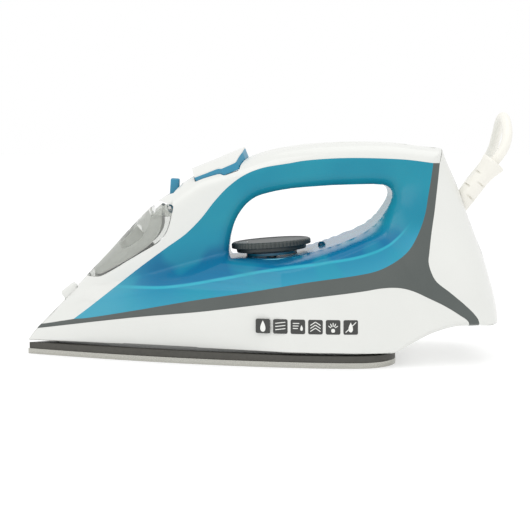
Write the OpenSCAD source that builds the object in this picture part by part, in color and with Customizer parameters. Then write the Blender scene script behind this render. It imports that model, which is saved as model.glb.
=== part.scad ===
// Steam iron: nose towards -X, heel towards +X, +Z up.
// The origin is under the middle of the iron, on the ironing face.

/* [Overall] */
// Length from the nose to the heel
body_l = 295; // [245:1:355]
// Widest part of the body
body_w = 114; // [104:1:138]
// Height to the top of the handle
body_h = 134; // [122:1:162]
// Wall of the moulded shells
wall = 2.2; // [1.8:0.1:2.7]

/* [Soleplate and heater] */
// Length of the soleplate
sole_l = 230.5; // [200:0.5:250]
// Thickness of the polished soleplate
sole_t = 3.3; // [2.7:0.1:4]
// Height of the dark heat skirt
skirt_h = 3.9; // [3.2:0.1:4.7]
// Height of the heater casting
casting_h = 10; // [8.6:0.1:12]
// Diameter of the tubular heating element
element_d = 6.8; // [5.6:0.1:8]
// Diameter of a steam hole
steam_hole_d = 2.6; // [2:0.1:3.4]

/* [Temperature dial] */
// Diameter of the dial's knurled flange
dial_d = 50; // [42:0.5:60]
// Thickness of the dial
dial_h = 6.8; // [5.6:0.1:8.2]
// Diameter of the dial's shaft
shaft_d = 6; // [5:0.1:7.2]
// Ribs around the dial's flange
dial_ribs = 60; // [30:2:90]

/* [Buttons and lever] */
// Length of a pump button
button_l = 36; // [30:0.5:40]
// Travel of a pump button
button_travel = 3; // [2:0.1:3.6]
// Bore of a pump
pump_bore_d = 5.2; // [4.3:0.1:6.3]
// Diameter of the steam valve's rod
valve_rod_d = 3; // [2.5:0.1:3.6]
// Height of the steam lever's paddle above its arm
paddle_h = 22; // [18:0.5:26]

/* [Filler] */
// Bore of the filler inlet
inlet_bore_d = 13; // [10.8:0.1:15.6]
// Diameter of the lid's hinge pin
lid_pin_d = 2; // [1.6:0.1:2.5]

/* [Mains lead] */
// Diameter of the mains lead
cord_d = 6.5; // [5.5:0.1:7]
// Length of the strain relief from its ball's centre
guard_l = 47; // [42:0.5:56]
// Diameter of the strain relief's ball
ball_d = 15; // [14:0.5:18]
// Diameter of the plug's face
plug_d = 36; // [32:0.5:42]

/* [Fits] */
// Radial clearance of a turning or sliding pin
run_fit = 0.08; // [0.04:0.01:0.1]
// Gap round a part that moves
move_gap = 0.4; // [0.3:0.05:0.7]

/* [Hidden] */
$fn = 48;

// Drawn outlines are given at this size and follow the overall dimensions.
DRAWN_L = 295;
DRAWN_W = 114;
DRAWN_H = 134;
kx = body_l / DRAWN_L;
ky = body_w / DRAWN_W;
kz = body_h / DRAWN_H;
function px(x) = x * kx;
function pz(z) = z * kz;
function scaled(pts) = [for (p = pts) [px(p[0]), pz(p[1])]];
FAR = 400;

// ---- plan outline: half-width of the body at x, drawn size ----
NOSE_X = -147.5;
WIDEST_X = 52.5;
HEEL_X = 147.5;
HEEL_R = 24;
function taper(x) = x < WIDEST_X
    ? 57 * (1 - pow(1 - (x - NOSE_X) / (WIDEST_X - NOSE_X), 1.6))
    : 57 - 9 * pow((x - WIDEST_X) / 91, 1.5);
function heel_round(x) = x > HEEL_X - HEEL_R
    ? HEEL_R - sqrt(max(0, pow(HEEL_R, 2) - pow(x - HEEL_X + HEEL_R, 2))) : 0;
function half_w(x) = max(1, taper(x) - heel_round(x));

// ---- side outlines, drawn size, x then z ----
base_z = sole_t + skirt_h;
RIDGE = [[-147.5, 9], [-146, 11], [-141, 17], [-131, 27], [-120, 41], [-111, 48.5], [-66, 96.5],
    [-57, 101], [-47, 110], [-38, 114.5], [-8, 124], [5, 129.5], [25, 132.3], [50, 134], [80, 134],
    [100, 131.5], [113.5, 130], [118, 118], [123, 108.5], [131.5, 83], [141, 58], [146.5, 39],
    [147.5, 31]];
UNDERSIDE = [[147.5, 26], [144, 22.5], [118, 22], [104, 18], [90, 12.5], [81, base_z / kz]];
HOLE = [[-19, 66], [-18.6, 73], [-16.5, 82], [-13.4, 89], [-8.3, 95.8], [-2.3, 100.2],
    [6.3, 103], [19, 105.3], [36, 106.8], [54, 107.7], [77.2, 107.7], [80.4, 105.8], [81.8, 102.5],
    [81, 98.8], [78, 92.4], [72.7, 85.5], [65, 79.6], [56, 75.3], [46, 71.7], [34, 67.5],
    [18, 63.5], [-2, 61.5], [-15, 61.5]];
TRIM_LOW = [[-160, 12.5], [-138.4, 17], [-77, 26.6], [-36, 31.6], [-5, 36.3], [25, 41],
    [62.5, 46], [71, 47.4], [79, 47.9], [85, 47.4], [92, 45.4], [101, 41.2], [110.4, 36.6],
    [119.5, 31], [124.4, 27.4], [125.6, 23.5], [125.8, 10]];
TRIM_UP = [[-160, 15.2], [-135.7, 19.8], [-116.5, 23.8], [-108.8, 24.7], [-77, 30.8], [-40, 38.3],
    [-6, 44.3], [26, 50.4], [67, 57], [75, 60], [82.2, 64.2], [90, 70.2], [96.3, 79.7],
    [100.5, 90], [103, 101.6], [105, 111.6], [106.5, 121]];
REAR_FRONT = [[114, 145], [110.8, 121], [109.2, 109.3], [106.4, 91.7], [104, 79.7], [102, 68],
    [101.2, 62], [102.6, 56.2], [105.3, 51.1], [113.5, 44.5], [122.5, 37], [128.6, 31], [131, 27],
    [131, 10]];
TANK_TOP = [[-116.5, 23.8], [-107.5, 30.6], [-88.6, 45.4], [-73.4, 57.3], [-57.4, 69.1],
    [-45.7, 77.5], [-36.2, 87], [-27.8, 97.7], [-19.3, 106.6], [-9.8, 113.5], [0.7, 117.8],
    [18.6, 121], [27.4, 122.5], [48.6, 124], [69.7, 124], [90.8, 123], [106.5, 121]];
GRIP_SEAM = [[-60, 81], [10, 81], [60, 92.5], [79, 92.5], [112, 88]];
LID_EDGE = [[-150, 50.2], [-110, 50.2], [-99.7, 50.5], [-91.4, 54.7], [-72.5, 66.2], [-62.5, 72.4],
    [-56.4, 81], [-54.2, 89], [-52.9, 94.8], [-60.7, 97.2], [-66, 97.2], [-66, 150]];
WELL_TOP = [[-64.4, 96.4], [-65.6, 88.4], [-69.9, 79.8], [-74.3, 73.5], [-85.1, 66.6], [-93, 61],
    [-103, 53]];
function reversed(a) = [for (i = [len(a) - 1 : -1 : 0]) a[i]];

OUTLINE = concat(RIDGE, UNDERSIDE, [[-147.5, base_z / kz]]);
UPPER = concat(TANK_TOP, [[110.8, 121], [114, 145], [114, 200], [-200, 200], [-200, 8],
    [-160, 15.2], [-135.7, 19.8]]);

module side_cut(pts) {
    rotate([90, 0, 0]) linear_extrude(FAR, center = true) polygon(scaled(pts));
}

// ---- the whole outer form, inset by d ----
STATIONS = [-147.5, -145, -140, -131, -120, -104, -84, -61, -33, -3, 26, 52, 82, 108, 124, 136,
    144, 147.5];
CREST_W = 20;
CREST_R = 8;
function shoulder(x) = lookup(x, [[-100, 40], [-18, 60], [0, 87], [75, 87], [100, 80], [150, 80]]);
function spread(x) = lookup(x, [[-100, 5], [-18, 7], [0, 12], [75, 12], [100, 45], [150, 45]]);
function crest(x) = min(CREST_W, 0.62 * taper(x));

// Solid between a section at x1 and the next one at x2.
module link(x1, pts1, x2, pts2) {
    pts = concat([for (p = pts1) [px(x1), p[0], p[1]]], [for (p = pts2) [px(x2), p[0], p[1]]]);
    hull() polyhedron(points = pts, faces = [[for (k = [0 : len(pts) - 1]) k]]);
}
function mirrored(half) = concat(half, [for (p = reversed(half)) [-p[0], p[1]]]);
function trunk(x, d) = let (s = max(0.4, ky * half_w(x) - d), c = max(0.3, ky * crest(x) - d))
    mirrored([[s, base_z - 2], [s * 0.985, pz(shoulder(x) - spread(x)) - d],
        [0.55 * s + 0.45 * c, pz(shoulder(x) - 0.2 * spread(x)) - d],
        [c, pz(shoulder(x) + spread(x)) - d]]);
function ridge_section(x, top, d) = let (c = max(0.3, ky * crest(x) - d), r = min(CREST_R, 0.7 * c))
    mirrored([[c, base_z - 2], [c, max(base_z + 0.1, pz(top) - d - r)],
        [c - 0.3 * r, max(base_z + 0.2, pz(top) - d - 0.3 * r)],
        [c - r, max(base_z + 0.3, pz(top) - d)]]);

module form(d) {
    intersection() {
        union() {
            for (i = [0 : len(STATIONS) - 2]) let (a = STATIONS[i], b = STATIONS[i + 1])
                link(a, trunk(a, d), b, trunk(b, d));
            for (i = [0 : len(RIDGE) - 2]) let (a = RIDGE[i], b = RIDGE[i + 1])
                link(a[0], ridge_section(a[0], a[1], d), b[0], ridge_section(b[0], b[1], d));
        }
        rotate([90, 0, 0]) linear_extrude(FAR, center = true) difference() {
            offset(delta = -d) polygon(scaled(OUTLINE));
            offset(delta = d) polygon(scaled(HOLE));
        }
    }
}

// The thin outer shell, open at the bottom over the heater.
module skin(t = wall) {
    difference() {
        form(0);
        form(t);
    }
}

// ---- soleplate and heater ----
SOLE_R = 24;
sole_end = px(NOSE_X) + sole_l;
function sole_half(x) = let (e = sole_end / kx) max(0.5, half_w(x) - (x > e - SOLE_R
    ? SOLE_R - sqrt(max(0, pow(SOLE_R, 2) - pow(x - e + SOLE_R, 2))) : 0));
SOLE_STEPS = 40;
function sole_points() = let (e = sole_end / kx)
    [for (i = [0 : SOLE_STEPS]) let (t = i / SOLE_STEPS, x = NOSE_X + (e - NOSE_X) * (1 - cos(180 * t)) / 2)
        [px(x), ky * sole_half(x)]];
module sole_plan(inset = 0) {
    offset(delta = -inset) polygon(concat(sole_points(), [for (p = reversed(sole_points())) [p[0], -p[1]]]));
}

VALVE_X = -42;
valve_x = px(VALVE_X);
dial_x = px(7.4);
dial_z = pz(65.8);
DIAL_TILT = 4.2;
casting_top = sole_t + casting_h;
cover_t = 1.2;
gasket_t = 0.8;
cover_top = casting_top + gasket_t + cover_t;
element_z = sole_t + casting_h / 2;
ELEMENT_SPAN = 18;
element_front = px(-62);
element_rear = px(50);
CASTING_INSET = 8;
chamber_front = px(-112);
chamber_rear = px(-14);
SCREWS = [[-68, 0], [-26, 9], [-26, -9], [66, 0]];

module soleplate() {
    color([0.72, 0.71, 0.69]) difference() {
        linear_extrude(sole_t) sole_plan();
        for (x = [-120 : 16 : 56]) for (s = [-1, 1])
            translate([px(x), s * ky * (half_w(x) - 9) * 0.86, -1]) cylinder(d = steam_hole_d, h = sole_t + 2, $fn = 24);
    }
}

module heat_skirt() {
    color([0.27, 0.27, 0.25]) translate([0, 0, sole_t]) difference() {
        linear_extrude(skirt_h) sole_plan(0.5);
        translate([0, 0, -1]) linear_extrude(skirt_h + 2) sole_plan(CASTING_INSET - 1.5);
    }
}

module element_shape(r) {
    for (s = [-1, 1]) translate([element_front, s * ELEMENT_SPAN, element_z])
        rotate([0, 90, 0]) cylinder(r = r, h = element_rear - element_front);
    translate([element_front, 0, element_z]) rotate([0, 0, 90])
        rotate_extrude(angle = 180) translate([ELEMENT_SPAN, 0]) circle(r = r);
    for (s = [-1, 1]) translate([element_rear - r, s * ELEMENT_SPAN, element_z])
        cylinder(r = r * 0.6, h = casting_top + 8 - element_z);
}

module heating_element() {
    color([0.55, 0.5, 0.46]) element_shape(element_d / 2);
}

module chamber_plan(inset) {
    intersection() {
        sole_plan(CASTING_INSET + 8 + inset);
        translate([chamber_front + inset, -FAR / 2]) square([chamber_rear - chamber_front - 2 * inset, FAR]);
    }
}

module heater_casting() {
    color([0.6, 0.6, 0.6]) difference() {
        translate([0, 0, sole_t]) linear_extrude(casting_h) sole_plan(CASTING_INSET);
        element_shape(element_d / 2);
        translate([0, 0, casting_top - 2.2]) linear_extrude(5) difference() {
            chamber_plan(5);
            for (p = [SCREWS[0], SCREWS[1], SCREWS[2]]) translate([px(p[0]), p[1]]) circle(r = 5);
        }
        for (p = SCREWS) translate([px(p[0]), p[1], casting_top - 6]) cylinder(r = 2, h = 10);
    }
}

module chamber_gasket() {
    color([0.75, 0.3, 0.2]) translate([0, 0, casting_top]) linear_extrude(gasket_t) difference() {
        chamber_plan(0);
        chamber_plan(3);
    }
}

module steam_chamber_cover() {
    color([0.7, 0.7, 0.7]) difference() {
        translate([0, 0, casting_top + gasket_t]) linear_extrude(cover_t) chamber_plan(0);
        translate([valve_x, 0, 0]) cylinder(r = seat_bore, h = FAR);
        for (p = [SCREWS[0], SCREWS[1], SCREWS[2]]) translate([px(p[0]), p[1], 0]) cylinder(r = 2.2, h = FAR);
    }
}

module casting_screws() {
    color([0.78, 0.76, 0.6]) for (i = [0 : 3]) let (p = SCREWS[i], seat = i < 3 ? cover_top : casting_top)
        translate([px(p[0]), p[1], 0]) {
            translate([0, 0, casting_top - 6]) cylinder(r = 2, h = seat - casting_top + 6);
            translate([0, 0, seat]) cylinder(r = 3.6, h = 2.4);
        }
}

// ---- shells ----
LOWER = concat(TRIM_LOW, [[-160, -20]]);
TRIM = concat(TRIM_UP, [for (i = [1 : len(REAR_FRONT) - 1]) REAR_FRONT[i]], [[125.8, 10]],
    reversed(TRIM_LOW));
REAR = concat(REAR_FRONT, [[200, 10], [200, 200], [114, 200]]);
BLUE = concat([for (i = [2 : len(TRIM_UP) - 1]) TRIM_UP[i]], reversed(TANK_TOP));
BELOW_SEAM = concat(GRIP_SEAM, [[112, -20], [-160, -20], [-160, 81]]);
LID_REGION = concat(LID_EDGE, [[-150, 150]]);

module lower_body() {
    color([0.92, 0.92, 0.91]) difference() {
        intersection() { skin(); side_cut(LOWER); }
        translate([0, 0, base_z - 1]) linear_extrude(wall + 2) sole_plan(wall + 3);
    }
}

module trim_band() {
    color([0.37, 0.39, 0.38]) intersection() { skin(); side_cut(TRIM); }
}

module water_tank() {
    color([0.13, 0.53, 0.65, 0.7]) difference() {
        union() {
            difference() {
                intersection() { form(0); side_cut(BLUE); side_cut(BELOW_SEAM); }
                intersection() {
                    form(wall);
                    rotate([90, 0, 0]) linear_extrude(FAR, center = true) offset(delta = -wall)
                        intersection() { polygon(scaled(BLUE)); polygon(scaled(BELOW_SEAM)); }
                }
            }
            intersection() {
                union() {
                    at_dial() translate([0, 0, -40]) cylinder(r = shaft_d / 2 + 3.6, h = 60);
                    translate([lamp_x, 0, 40]) cylinder(r = pipe_r + 2.2, h = 60);
                }
                form(0);
                side_cut(BLUE);
            }
        }
        at_dial() translate([0, 0, -60]) cylinder(r = shaft_d / 2 + 1.6, h = 90);
        translate([lamp_x, 0, 30]) cylinder(r = pipe_r + run_fit, h = 60);
        translate([valve_x, 0, 20]) cylinder(r = seat_r + run_fit, h = pz(24));
        translate([valve_x, 0, pz(60)]) cylinder(r = seal_r + 0.02, h = pz(40));
        at_inlet() translate([0, 0, -34]) cylinder(d = inlet_bore_d, h = 40);
    }
}

module handle_grip() {
    color([0.13, 0.5, 0.62]) difference() {
        intersection() { skin(); side_cut(BLUE); }
        side_cut(BELOW_SEAM);
    }
}

module upper_shell() {
    color([0.93, 0.93, 0.92]) difference() {
        intersection() { skin(); side_cut(UPPER); }
        side_cut(LID_REGION);
        at_buttons() translate([0, 0, -9]) linear_extrude(40) offset(delta = move_gap) {
            button_plan(1);
            button_plan(-1);
        }
        lever_slot();
        nozzle_block(0);
        lid_notch();
    }
}

module rear_cover() {
    color([0.92, 0.92, 0.91]) difference() {
        intersection() { skin(); side_cut(REAR); }
        at_guard() cylinder(r = guard_root_r + 1, h = 40);
        for (p = COVER_SCREWS) translate([px(p[0]), p[1], 0]) cylinder(r = 1.7, h = FAR / 8);
    }
}

// ---- filler: well, inlet, lid ----
LID_SLOPE = 46.8;
module at_inlet() { translate([px(-81.4), 0, pz(74.8)]) rotate([0, LID_SLOPE - 90, 0]) children(); }
WELL_REGION = concat(reversed(WELL_TOP), [[-60.5, 94.6], [-60.3, 88], [-61.5, 80], [-65, 74],
    [-72.8, 67], [-91.6, 55.6], [-99.7, 51.6], [-103, 51.4]]);

module filler_well() {
    color([0.8, 0.81, 0.8]) difference() {
        intersection() { form(wall + 0.6); side_cut(WELL_REGION); }
        intersection() {
            form(2 * wall + 0.6);
            rotate([90, 0, 0]) linear_extrude(FAR, center = true) offset(delta = -1.2) polygon(scaled(WELL_REGION));
        }
        at_inlet() translate([0, 0, -60]) cylinder(d = inlet_bore_d + 3.2, h = 90);
    }
    color([0.8, 0.81, 0.8]) for (s = [-1, 1]) hinge_ear(s);
}
// An ear on each side wall of the well, which holds a stub pin of the lid.
EAR_T = 1.9;
module hinge_ear(s) {
    y = s * (ky * CREST_W - wall - 0.7 - EAR_T / 2);
    difference() {
        hull() {
            translate([hinge_x, y, hinge_z]) rotate([90, 0, 0]) cylinder(r = lid_pin_d / 2 + 1.6, h = EAR_T, center = true);
            translate([px(-62.4), y, pz(88)]) cube([1, EAR_T, 9], center = true);
        }
        at_hinge() cylinder(d = lid_pin_d + 0.02, h = FAR, center = true);
    }
}

INLET_L = 16;
module filler_inlet() {
    color([0.75, 0.77, 0.77]) at_inlet() difference() {
        translate([0, 0, -INLET_L]) cylinder(d = inlet_bore_d + 3, h = INLET_L);
        translate([0, 0, -INLET_L - 1]) cylinder(d = inlet_bore_d, h = INLET_L + 2);
    }
}

hinge_x = px(-55.5);
hinge_z = pz(93.6);
LID_INSIDE = CREST_W - wall - 0.35;
module at_hinge() { translate([hinge_x, 0, hinge_z]) rotate([90, 0, 0]) children(); }
module filler_lid() {
    color([0.8, 0.82, 0.82, 0.35]) difference() {
        intersection() {
            skin();
            rotate([90, 0, 0]) linear_extrude(FAR, center = true) offset(delta = -move_gap)
                polygon(scaled(LID_REGION));
        }
        at_hinge() cylinder(r = lid_pin_d / 2 + run_fit, h = FAR, center = true);
        translate([px(-67.2), -ky * LID_INSIDE, hinge_z - 6]) cube([30, 2 * ky * LID_INSIDE, 30]);
        translate([px(-54), -FAR / 2, hinge_z - 8]) cube([30, FAR, 30]);
    }
}

// Room in the shell's cheeks for the lid's two rear corners to turn up.
NOTCH_R = 7.6;
module lid_notch() {
    for (s = [-1, 1]) intersection() {
        at_hinge() translate([0, 0, s * (ky * LID_INSIDE - 0.2 + 10)]) cylinder(r = NOTCH_R, h = 20, center = true);
        translate([hinge_x - 18.2, -FAR / 2, hinge_z - 2]) cube([20, FAR, 20]);
    }
}

// Two stub pins, one in each ear.
module lid_hinge_pin() {
    color([0.3, 0.3, 0.3]) at_hinge() for (s = [-1, 1])
        translate([0, 0, s * (ky * CREST_W - 2.9)]) cylinder(d = lid_pin_d, h = 4.8, center = true);
}

module nozzle_block(g) {
    translate([px(-120), 0, pz(41)]) rotate([0, -38, 0]) translate([-6 - g, -5 - g, -6])
        cube([11 + 2 * g, 10 + 2 * g, 9 + g]);
}

module spray_nozzle() {
    color([0.9, 0.9, 0.89]) difference() {
        nozzle_block(-0.1);
        translate([px(-120), 0, pz(41)]) rotate([0, -38, 0]) translate([-8, 0, 0])
            rotate([0, 90, 0]) cylinder(r = 1, h = 9);
    }
}

module rod(p, q, r) {
    v = q - p;
    translate(p) rotate([0, acos(v[2] / norm(v)), atan2(v[1], v[0])]) cylinder(r = r, h = norm(v), $fn = 24);
}

TUBE_R = 1.6;
module spray_tube() {
    color([0.85, 0.85, 0.8]) rod([px(-23), -12, pz(98)], [px(-98), -8.2, pz(46.2)], TUBE_R);
}

module steam_tube() {
    color([0.85, 0.85, 0.8]) rod([px(-22), button_side, pz(98.5)],
        [px(-27), button_side, pz(81.5)], TUBE_R);
}

// ---- steam lever and valve ----
LEVER_ARM = 12.4;
seat_r = 5;
seat_bore = 1.3;
seal_r = 3.2;
hub_z = pz(88.5);
hub_r = 4.4;
VALVE_STEP = 1.5;
LEVER_SWING = 25;
SLOT_SPARE = 28;
seat_top = pz(42);

module lever_slot() {
    translate([valve_x, 0, hub_z + 3]) rotate([0, 0, 180 - LEVER_SWING - SLOT_SPARE])
        rotate_extrude(angle = 2 * (LEVER_SWING + SLOT_SPARE)) translate([LEVER_ARM - 5.2, 0]) square([9.8, 40]);
}

module steam_lever() {
    color([0.1, 0.5, 0.66]) translate([valve_x, 0, hub_z]) difference() {
        union() {
            cylinder(r = hub_r, h = 5);
            translate([-LEVER_ARM - 2, -2.5, 1]) cube([LEVER_ARM + 2, 5, 2]);
            translate([-LEVER_ARM - 3, -4, 1]) rotate([0, 4, 0]) cube([5.6, 8, paddle_h]);
        }
        translate([0, 0, -1]) cylinder(r = valve_rod_d / 2 + run_fit, h = 5);
    }
}

module valve_rod() {
    color([0.8, 0.8, 0.8]) translate([valve_x, 0, seat_top + VALVE_STEP + 0.3])
        cylinder(d = valve_rod_d, h = hub_z + 1.5 - seat_top - VALVE_STEP - 0.3);
}

module rod_seal() {
    color([0.2, 0.2, 0.2]) translate([valve_x, 0, pz(79.5)]) difference() {
        cylinder(r = seal_r, h = 4);
        translate([0, 0, -1]) cylinder(r = valve_rod_d / 2 + run_fit, h = 6);
    }
}

module valve_seat() {
    color([0.25, 0.25, 0.25]) translate([valve_x, 0, cover_top]) difference() {
        cylinder(r = seat_r, h = seat_top - cover_top);
        translate([0, 0, -1]) cylinder(r = seat_bore, h = seat_top - cover_top + 2);
    }
}

// ---- pump buttons ----
BUTTON_TILT = 22;
button_x = px(-24);
button_z = pz(119.5);
BUTTON_RISE = 5.2;
BUTTON_SKIRT = button_travel + 1;
BUTTON_WALL = 1.8;
button_side = 8.6;
PUMP_X = -4;
pump_r = pump_bore_d / 2 + 1.4;
pump_top = -7.5;
PUMP_L = 11;
module at_buttons() { translate([button_x, 0, button_z]) rotate([0, -BUTTON_TILT, 0]) children(); }
module button_plan(s) {
    h = button_l / 2;
    polygon([for (p = [[-h, 0.5], [-h, 15.5], [-h + 8, 16], [-3, 16], [0, 17.5], [9, 17], [h - 2, 7],
        [h, 0.5]]) [p[0], s * p[1]]]);
}
module button(s) {
    color([0.11, 0.52, 0.66]) at_buttons() difference() {
        translate([0, 0, -BUTTON_SKIRT]) linear_extrude(BUTTON_RISE + BUTTON_SKIRT) button_plan(s);
        translate([0, 0, -BUTTON_SKIRT - 1]) linear_extrude(BUTTON_SKIRT + 2) offset(delta = -BUTTON_WALL)
            button_plan(s);
    }
}
module piston(s) {
    color([0.9, 0.9, 0.9]) at_buttons() translate([PUMP_X, s * button_side, pump_top - 4.5])
        cylinder(r = pump_bore_d / 2 - run_fit, h = 1 - pump_top + 4.5);
}
module spring(s) {
    color([0.7, 0.7, 0.7]) at_buttons() translate([PUMP_X, s * button_side, pump_top]) difference() {
        cylinder(r = pump_bore_d / 2 + 1.2, h = 1 - pump_top);
        translate([0, 0, -1]) cylinder(r = pump_bore_d / 2 + 0.3, h = 4 - pump_top);
    }
}
module pump(s) {
    color([0.85, 0.85, 0.83]) at_buttons() translate([PUMP_X, s * button_side, pump_top - PUMP_L]) difference() {
        cylinder(r = pump_r, h = PUMP_L);
        translate([0, 0, 1.5]) cylinder(r = pump_bore_d / 2, h = PUMP_L);
    }
}
module spray_button() { button(-1); }
module steam_button() { button(1); }
module spray_piston() { piston(-1); }
module steam_piston() { piston(1); }
module spray_spring() { spring(-1); }
module steam_spring() { spring(1); }
module spray_pump() { pump(-1); }
module steam_pump() { pump(1); }

// ---- temperature dial ----
module at_dial() { translate([dial_x, 0, dial_z]) rotate([0, -DIAL_TILT, 0]) children(); }
FLANGE_H = 3.8;
shaft_l = pz(44);
module temperature_dial() {
    color([0.27, 0.26, 0.25]) at_dial() difference() {
        union() {
            cylinder(r = dial_d / 2 - 3, h = dial_h);
            translate([0, 0, dial_h - FLANGE_H]) cylinder(d = dial_d, h = FLANGE_H);
        }
        translate([0, 0, -1]) cylinder(d = shaft_d, h = 4);
        for (a = [0 : 360 / dial_ribs : 359.9]) rotate([0, 0, a]) translate([dial_d / 2 + 0.3, 0, dial_h - FLANGE_H - 1])
            cylinder(r = 0.8, h = FLANGE_H + 2, $fn = 8);
    }
}
module dial_shaft() {
    color([0.7, 0.7, 0.7]) at_dial() translate([0, 0, -shaft_l]) cylinder(d = shaft_d, h = shaft_l + 3);
}
module dial_bezel() {
    color([0.2, 0.45, 0.55]) at_dial() translate([0, 0, -2.2]) difference() {
        cylinder(r = dial_d / 2 - 9, h = 1.6);
        translate([0, 0, -1]) cylinder(r = shaft_d / 2 + 1.6, h = 4);
    }
}
module thermostat() {
    color([0.75, 0.72, 0.6]) translate([px(10.6), 0, casting_top]) {
        translate([-16, -7, 0]) cube([32, 14, 2]);
        translate([-5, -5, 2]) cube([10, 10, thermostat_h - 2]);
    }
}
thermostat_h = dial_z - shaft_l - casting_top - 1.2;
module thermal_fuse() {
    color([0.85, 0.8, 0.7]) translate([px(34), -9, casting_top + 2.5]) rotate([0, 90, 0]) cylinder(r = 2.5, h = 12);
}

// ---- pilot lamp ----
lamp_x = px(39);
pipe_r = 2.4;
lens_z = pz(70.2);
module pilot_lens() {
    color([0.05, 0.25, 0.35]) translate([lamp_x, 0, 0]) union() {
        translate([0, 0, pz(50)]) cylinder(r = pipe_r, h = lens_z - pz(50));
        translate([0, 0, lens_z]) cylinder(r1 = pipe_r, r2 = pipe_r - 1, h = 1.2);
    }
}
module pilot_lamp() {
    color([0.95, 0.5, 0.3]) translate([lamp_x, 0, pz(50) - 9]) cylinder(r = 2.2, h = 8.7);
}

// ---- mains connection ----
module terminal_block() {
    color([0.9, 0.88, 0.8]) difference() {
        translate([px(104), -14, pz(30)]) cube([14, 28, 10]);
        for (y = [-9, 0, 9]) translate([px(104) + 7, y, pz(30) + 4]) cylinder(r = 2, h = 10);
    }
}
COVER_SCREWS = [[136, -14], [136, 14]];
module cover_screws() {
    color([0.75, 0.75, 0.75]) for (p = COVER_SCREWS) translate([px(p[0]), p[1], pz(22.3) - 2]) {
        cylinder(r = 1.6, h = 10);
        cylinder(r = 2.8, h = 1.9);
    }
}

GUARD_TILT = 39;
ball_x = px(117.5);
ball_z = pz(84.8);
guard_root_r = 6;
bell_r = 8;
guard_bore_r = cord_d / 2 + 0.35;
module at_guard() { translate([ball_x, 0, ball_z]) rotate([0, GUARD_TILT, 0]) children(); }
SLIT_PITCH = 8;
module cord_guard() {
    color([0.9, 0.9, 0.9]) at_guard() difference() {
        union() {
            sphere(d = ball_d);
            cylinder(r1 = guard_root_r, r2 = guard_root_r - 0.6, h = guard_l - 7);
            translate([0, 0, guard_l - 9]) cylinder(r1 = guard_root_r - 0.6, r2 = bell_r, h = 9);
        }
        translate([0, 0, -20]) cylinder(r = guard_bore_r, h = guard_l + 40);
        for (i = [0 : 2]) for (s = [0 : 2]) translate([0, 0, 18 + i * SLIT_PITCH])
            rotate([0, 0, 120 * s + 60 * (i % 2)]) translate([guard_bore_r + 0.5, -3, -1]) cube([6, 6, 2.4]);
    }
}
module cord_socket() {
    color([0.8, 0.8, 0.78]) at_guard() difference() {
        cylinder(r = ball_d / 2 + 2.2, h = 7, center = true);
        sphere(r = ball_d / 2 + run_fit);
    }
}
module cord_clamp() {
    color([0.85, 0.83, 0.78]) at_guard() translate([0, 0, -22]) difference() {
        translate([-6, -9, 0]) cube([12, 18, 7]);
        translate([0, 0, -1]) cylinder(d = cord_d, h = 9);
    }
}
module lead_wires() {
    color([0.6, 0.3, 0.2]) for (y = [-9, 0, 9])
        rod([px(104) + 7, y, pz(30) + 10.2], [ball_x - 15.5, y * 0.2, ball_z - 22], 1);
}

// ---- the lead, where it is not coiled: along the strain relief, over and down to the floor ----
CORD_POINTS = [[104, 0, 68.1], [117.5, 0, 84.8], [130, 0, 100.2], [147, 0, 121.2], [150.8, 0.5, 126],
    [154.4, 3, 132], [156.6, 8, 138.5], [157.6, 16, 145], [158, 26, 149.3], [158.3, 37, 149.8],
    [158.5, 47, 146], [158.4, 56, 138.5], [157, 63, 129], [152.5, 68, 119], [146, 71.5, 110],
    [139.5, 74, 100], [133.8, 76.5, 88], [129.5, 79, 74], [126.5, 82, 58], [124.5, 85.5, 42],
    [121.5, 90, 27], [115.5, 96, 14.5], [107, 103, 7.2], [97.5, 111, 4.7], [87, 120, 4.5],
    [75, 129.6, 4.5]];
TAIL_POINTS = [[14, 148, 17.6], [3, 144.8, 17.2], [-8, 138, 16.6], [-18, 129, 16.4],
    [-27, 120, 16.8], [-36, 113.6, 17.6], [-46, 112, 18]];
COIL_X = 36;
COIL_Y = 106;
COIL_R = 36;
COIL_W = 20;
COIL_H = 20;
coil_lift = 1.2;
RING_SIDES = 8;

function tangent(path, i) = let (a = path[max(0, i - 1)], b = path[min(len(path) - 1, i + 1)])
    (b - a) / norm(b - a);
function ring(path, i) = let (t = tangent(path, i), side = cross(t, [0.6, -0.8, 0]),
    u = side / norm(side), v = cross(t, u))
    [for (k = [0 : RING_SIDES - 1]) path[i]
        + cord_d / 2 * (cos(360 * k / RING_SIDES) * u + sin(360 * k / RING_SIDES) * v)];
module swept(path) {
    n = len(path);
    m = RING_SIDES;
    polyhedron(
        points = [for (i = [0 : n - 1]) each ring(path, i)],
        faces = concat([[for (k = [0 : m - 1]) k]],
            [for (i = [0 : n - 2]) for (k = [0 : m - 1])
                [i * m + k, (i + 1) * m + k, (i + 1) * m + (k + 1) % m]],
            [for (i = [0 : n - 2]) for (k = [0 : m - 1])
                [i * m + k, (i + 1) * m + (k + 1) % m, i * m + (k + 1) % m]],
            [[for (k = [m - 1 : -1 : 0]) (n - 1) * m + k]]));
}
module mains_cord() {
    color([0.93, 0.92, 0.88]) {
        swept(CORD_POINTS);
        swept(TAIL_POINTS);
    }
}
module cord_coil() {
    color([0.93, 0.92, 0.88]) translate([COIL_X, COIL_Y, coil_lift]) rotate_extrude()
        translate([COIL_R - COIL_W / 2, 0]) square([COIL_W, COIL_H]);
}
module coil_tie() {
    color([0.2, 0.2, 0.2]) translate([COIL_X - 4, COIL_Y - COIL_R, 0]) difference() {
        translate([0, -COIL_W / 2 - 2, 0]) cube([8, COIL_W + 4, COIL_H + 2.4]);
        translate([-1, -COIL_W / 2 - 0.9, 1]) cube([10, COIL_W + 1.6, COIL_H + 0.4]);
    }
}
PLUG_X = -60;
PLUG_Y = 112;
PIN_PITCH = 9.5;
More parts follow.
